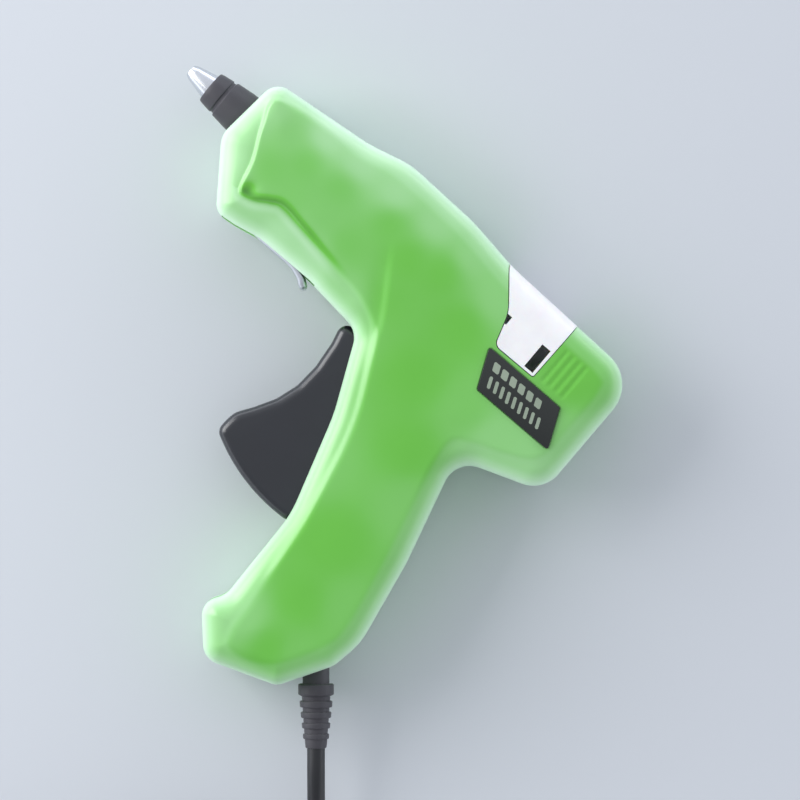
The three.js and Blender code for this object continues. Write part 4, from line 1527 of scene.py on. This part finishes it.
    def tie(self) -> Object:
        """The band around the coil."""
        high = self.low_z - self.radius + 2 * self.layer
        middle = self.centre[0] - (self.inner + self.outer) / 2
        half = (self.outer - self.inner) / 2 + self.radius + 0.6
        y = self.centre[1]
        loop = rounded([
            (middle - half - 0.9, -HALF + 0.1, 2.5), (middle + half + 0.9, -HALF + 0.1, 2.5),
            (middle + half + 0.9, high + 1.2, 3.5), (middle - half - 0.9, high + 1.2, 3.5),
        ], 12)
        inner = loop + inward(loop) * 0.9
        wide = 4.0
        n = len(loop)
        points = [(x, y + s, z) for s in (-wide, wide) for ring in (loop, inner) for x, z in ring]
        faces: list[tuple[int, ...]] = []
        for i in range(n):
            j = (i + 1) % n
            faces += [
                (i, j, n + j, n + i), (2 * n + j, 2 * n + i, 3 * n + i, 3 * n + j),
                (j, i, 2 * n + i, 2 * n + j), (n + i, n + j, 3 * n + j, 3 * n + i),
            ]
        return make_object("lead_tie", points, faces)

    def build(self) -> None:
        line = self.route()
        measured = float(np.linalg.norm(np.diff(line, axis=0), axis=1).sum()) * MM
        LOG.info("lead: %.3f m along its route", measured)
        cord = TubeAlongLine().draw("mains_lead", line, self.radius, CORD_PVC)
        self.settle(cord, CORD_PVC, ["power_cord", "cord_coil", "cord_tail"])
        self.settle(self.relief(), RUBBER, ["strain_relief"])
        plug = self.settle(self.plug(), BLACK_ABS, ["plug_body"])
        grip = self.settle(self.grip(), BLACK_ABS)
        upper = self.settle(self.pin("plug_pin_left", 1), PIN_NICKEL, ["plug_pin_upper"])
        lower = self.settle(self.pin("plug_pin_right", -1), PIN_NICKEL, ["plug_pin_lower"])
        tie = self.settle(self.tie(), BLACK_ABS, ["cord_tie"])


@dataclass
class InnerParts(Assembly):
    """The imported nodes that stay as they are, inside the housing, and get their finishes."""

    nodes: dict[str, Object] = field(default_factory=dict)
    looks: tuple[tuple[str, Finish], ...] = (
        ("valve_ball", SCREW_STEEL), ("valve_spring", WIRE_STEEL), ("melt_chamber", CAST_ALUMINIUM),
        ("heater_contact_upper", ROLLED_BRASS), ("heater_contact_lower", ROLLED_BRASS),
        ("heater_plate", HEATER_CERAMIC), ("heater_clip", WIRE_STEEL), ("stick_sleeve", RED_SILICONE),
        ("sleeve_clamp", WIRE_STEEL), ("feed_carriage", NATURAL_NYLON), ("jaw_pin", SCREW_STEEL),
        ("grip_jaw", SCREW_STEEL), ("return_spring", WIRE_STEEL), ("trigger_pin", SCREW_STEEL),
        ("wire_live", WIRE_SLEEVE), ("wire_neutral", WIRE_SLEEVE), ("cord_jacket_inside", CORD_PVC),
        ("cord_clamp", NATURAL_NYLON), ("clamp_screw_1", SCREW_STEEL), ("clamp_screw_2", SCREW_STEEL),
    )

    def build(self) -> None:
        """Dresses each node that is still shown."""
        for name, finish in self.looks:
            node = self.nodes[name]
            node.data.materials.clear()
            node.data.materials.append(finish.material())
            LOG.info("%s: %s", name, finish.name)


@dataclass
class Studio:
    """The floor, the lights and the camera."""

    aim: Point = (120.3, -39.5, 0.0)
    roll: float = 40.0
    frame_mm: float = 268.0
    distance: float = 1.6
    floor_colour: str = "D5D9DE"
    sky_colour: str = "F2F6FF"
    horizon: float = 2.5
    zenith: float = 0.63
    side_shares: tuple[float, float] = (1.3, 0.55)
    key_place: Point = (-1.1, 0.45, 0.6)
    key_size: float = 0.9
    key_watts: float = 12.0

    def camera(self) -> None:
        """A long lens straight above the gun, turned so that the barrel slants down to the right."""
        data = bpy.data.cameras.new("camera")
        data.sensor_width = 36.0
        data.lens = data.sensor_width * self.distance / (self.frame_mm * MM)
        data.clip_start = 0.05
        camera = placed("camera", data)
        aim = INTO_FRAME @ Vector(self.aim)
        camera.location = aim + Vector((0, 0, self.distance))
        camera.rotation_euler = (0, 0, math.radians(self.roll))
        bpy.context.scene.camera = camera

    def floor(self) -> None:
        """A wide matt floor."""
        mesh = bpy.data.meshes.new("floor")
        reach = 3.0
        corners = [(x * reach, y * reach, 0) for x, y in ((-1, -1), (1, -1), (1, 1), (-1, 1))]
        mesh.from_pydata(corners, [], [(0, 1, 2, 3)])
        floor = placed("floor", mesh)
        paint = bpy.data.materials.new("floor_matt_paint")
        paint.use_nodes = True
        shader = node_of(paint.node_tree, "BSDF_PRINCIPLED")
        shader.inputs["Base Color"].default_value = linear(self.floor_colour)
        shader.inputs["Roughness"].default_value = 0.9
        mesh.materials.append(paint)

    def light(self, name: str, where: Point, size: float, power: float) -> None:
        """Adds a square soft light.

        Args:
            name: Its name.
            where: Metres to the right, up and towards the camera, as the camera sees it.
            size: Its side in metres.
            power: Its power in watts.
        """
        data = bpy.data.lights.new(name, "AREA")
        data.size = size
        data.energy = power
        lamp = placed(name, data)
        aim = INTO_FRAME @ Vector(self.aim)
        turn = Matrix.Rotation(math.radians(self.roll), 3, "Z")
        lamp.location = aim + turn @ Vector(where)
        lamp.rotation_euler = (aim - lamp.location).to_track_quat("-Z", "Y").to_euler()

    def sky(self) -> None:
        """A pale sky, bright low down and brighter on the barrel's upper side than on the other."""
        world = bpy.data.worlds.new("studio")
        bpy.context.scene.world = world
        world.use_nodes = True
        tree = world.node_tree
        sky = node_of(tree, "BACKGROUND")
        sky.inputs["Color"].default_value = linear(self.sky_colour)
        where = add_node(tree, "ShaderNodeTexCoord")
        height = add_node(tree, "ShaderNodeSeparateXYZ", sockets={0: where.outputs["Generated"]})
        band = add_node(
            tree, "ShaderNodeMapRange", {"interpolation_type": "SMOOTHSTEP"},
            {0: height.outputs["Z"], 1: 0.05, 2: 0.5, 3: self.horizon, 4: self.zenith},
        )
        low_side = (math.sin(math.radians(self.roll)), -math.cos(math.radians(self.roll)), 0.0)
        facing = add_node(
            tree, "ShaderNodeVectorMath", {"operation": "DOT_PRODUCT"},
            {0: where.outputs["Generated"], 1: low_side},
        )
        high, low = self.side_shares
        share = add_node(
            tree, "ShaderNodeMapRange", sockets={0: facing.outputs["Value"], 1: -0.6, 2: 0.9, 3: high, 4: low}
        )
        strength = add_node(
            tree, "ShaderNodeMath", {"operation": "MULTIPLY"}, {0: band.outputs[0], 1: share.outputs[0]}
        )
        tree.links.new(strength.outputs[0], sky.inputs["Strength"])

    def build(self) -> None:
        """Sets up the studio."""
        self.camera()
        self.floor()
        self.sky()
        self.light("key_left", self.key_place, self.key_size, self.key_watts)
        bpy.context.scene.view_settings.view_transform = "Standard"


def main() -> None:
    """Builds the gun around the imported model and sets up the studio."""
    logging.basicConfig(level=logging.INFO, format="%(message)s", stream=sys.stderr)
    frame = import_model()
    Studio().build()
    Lead().build()
    Housing().build()
    HotEnd().build()
    Trigger().build()
    Stand().build()
    InnerParts(nodes=frame["nodes"]).build()


if __name__ == "__main__":
    main()
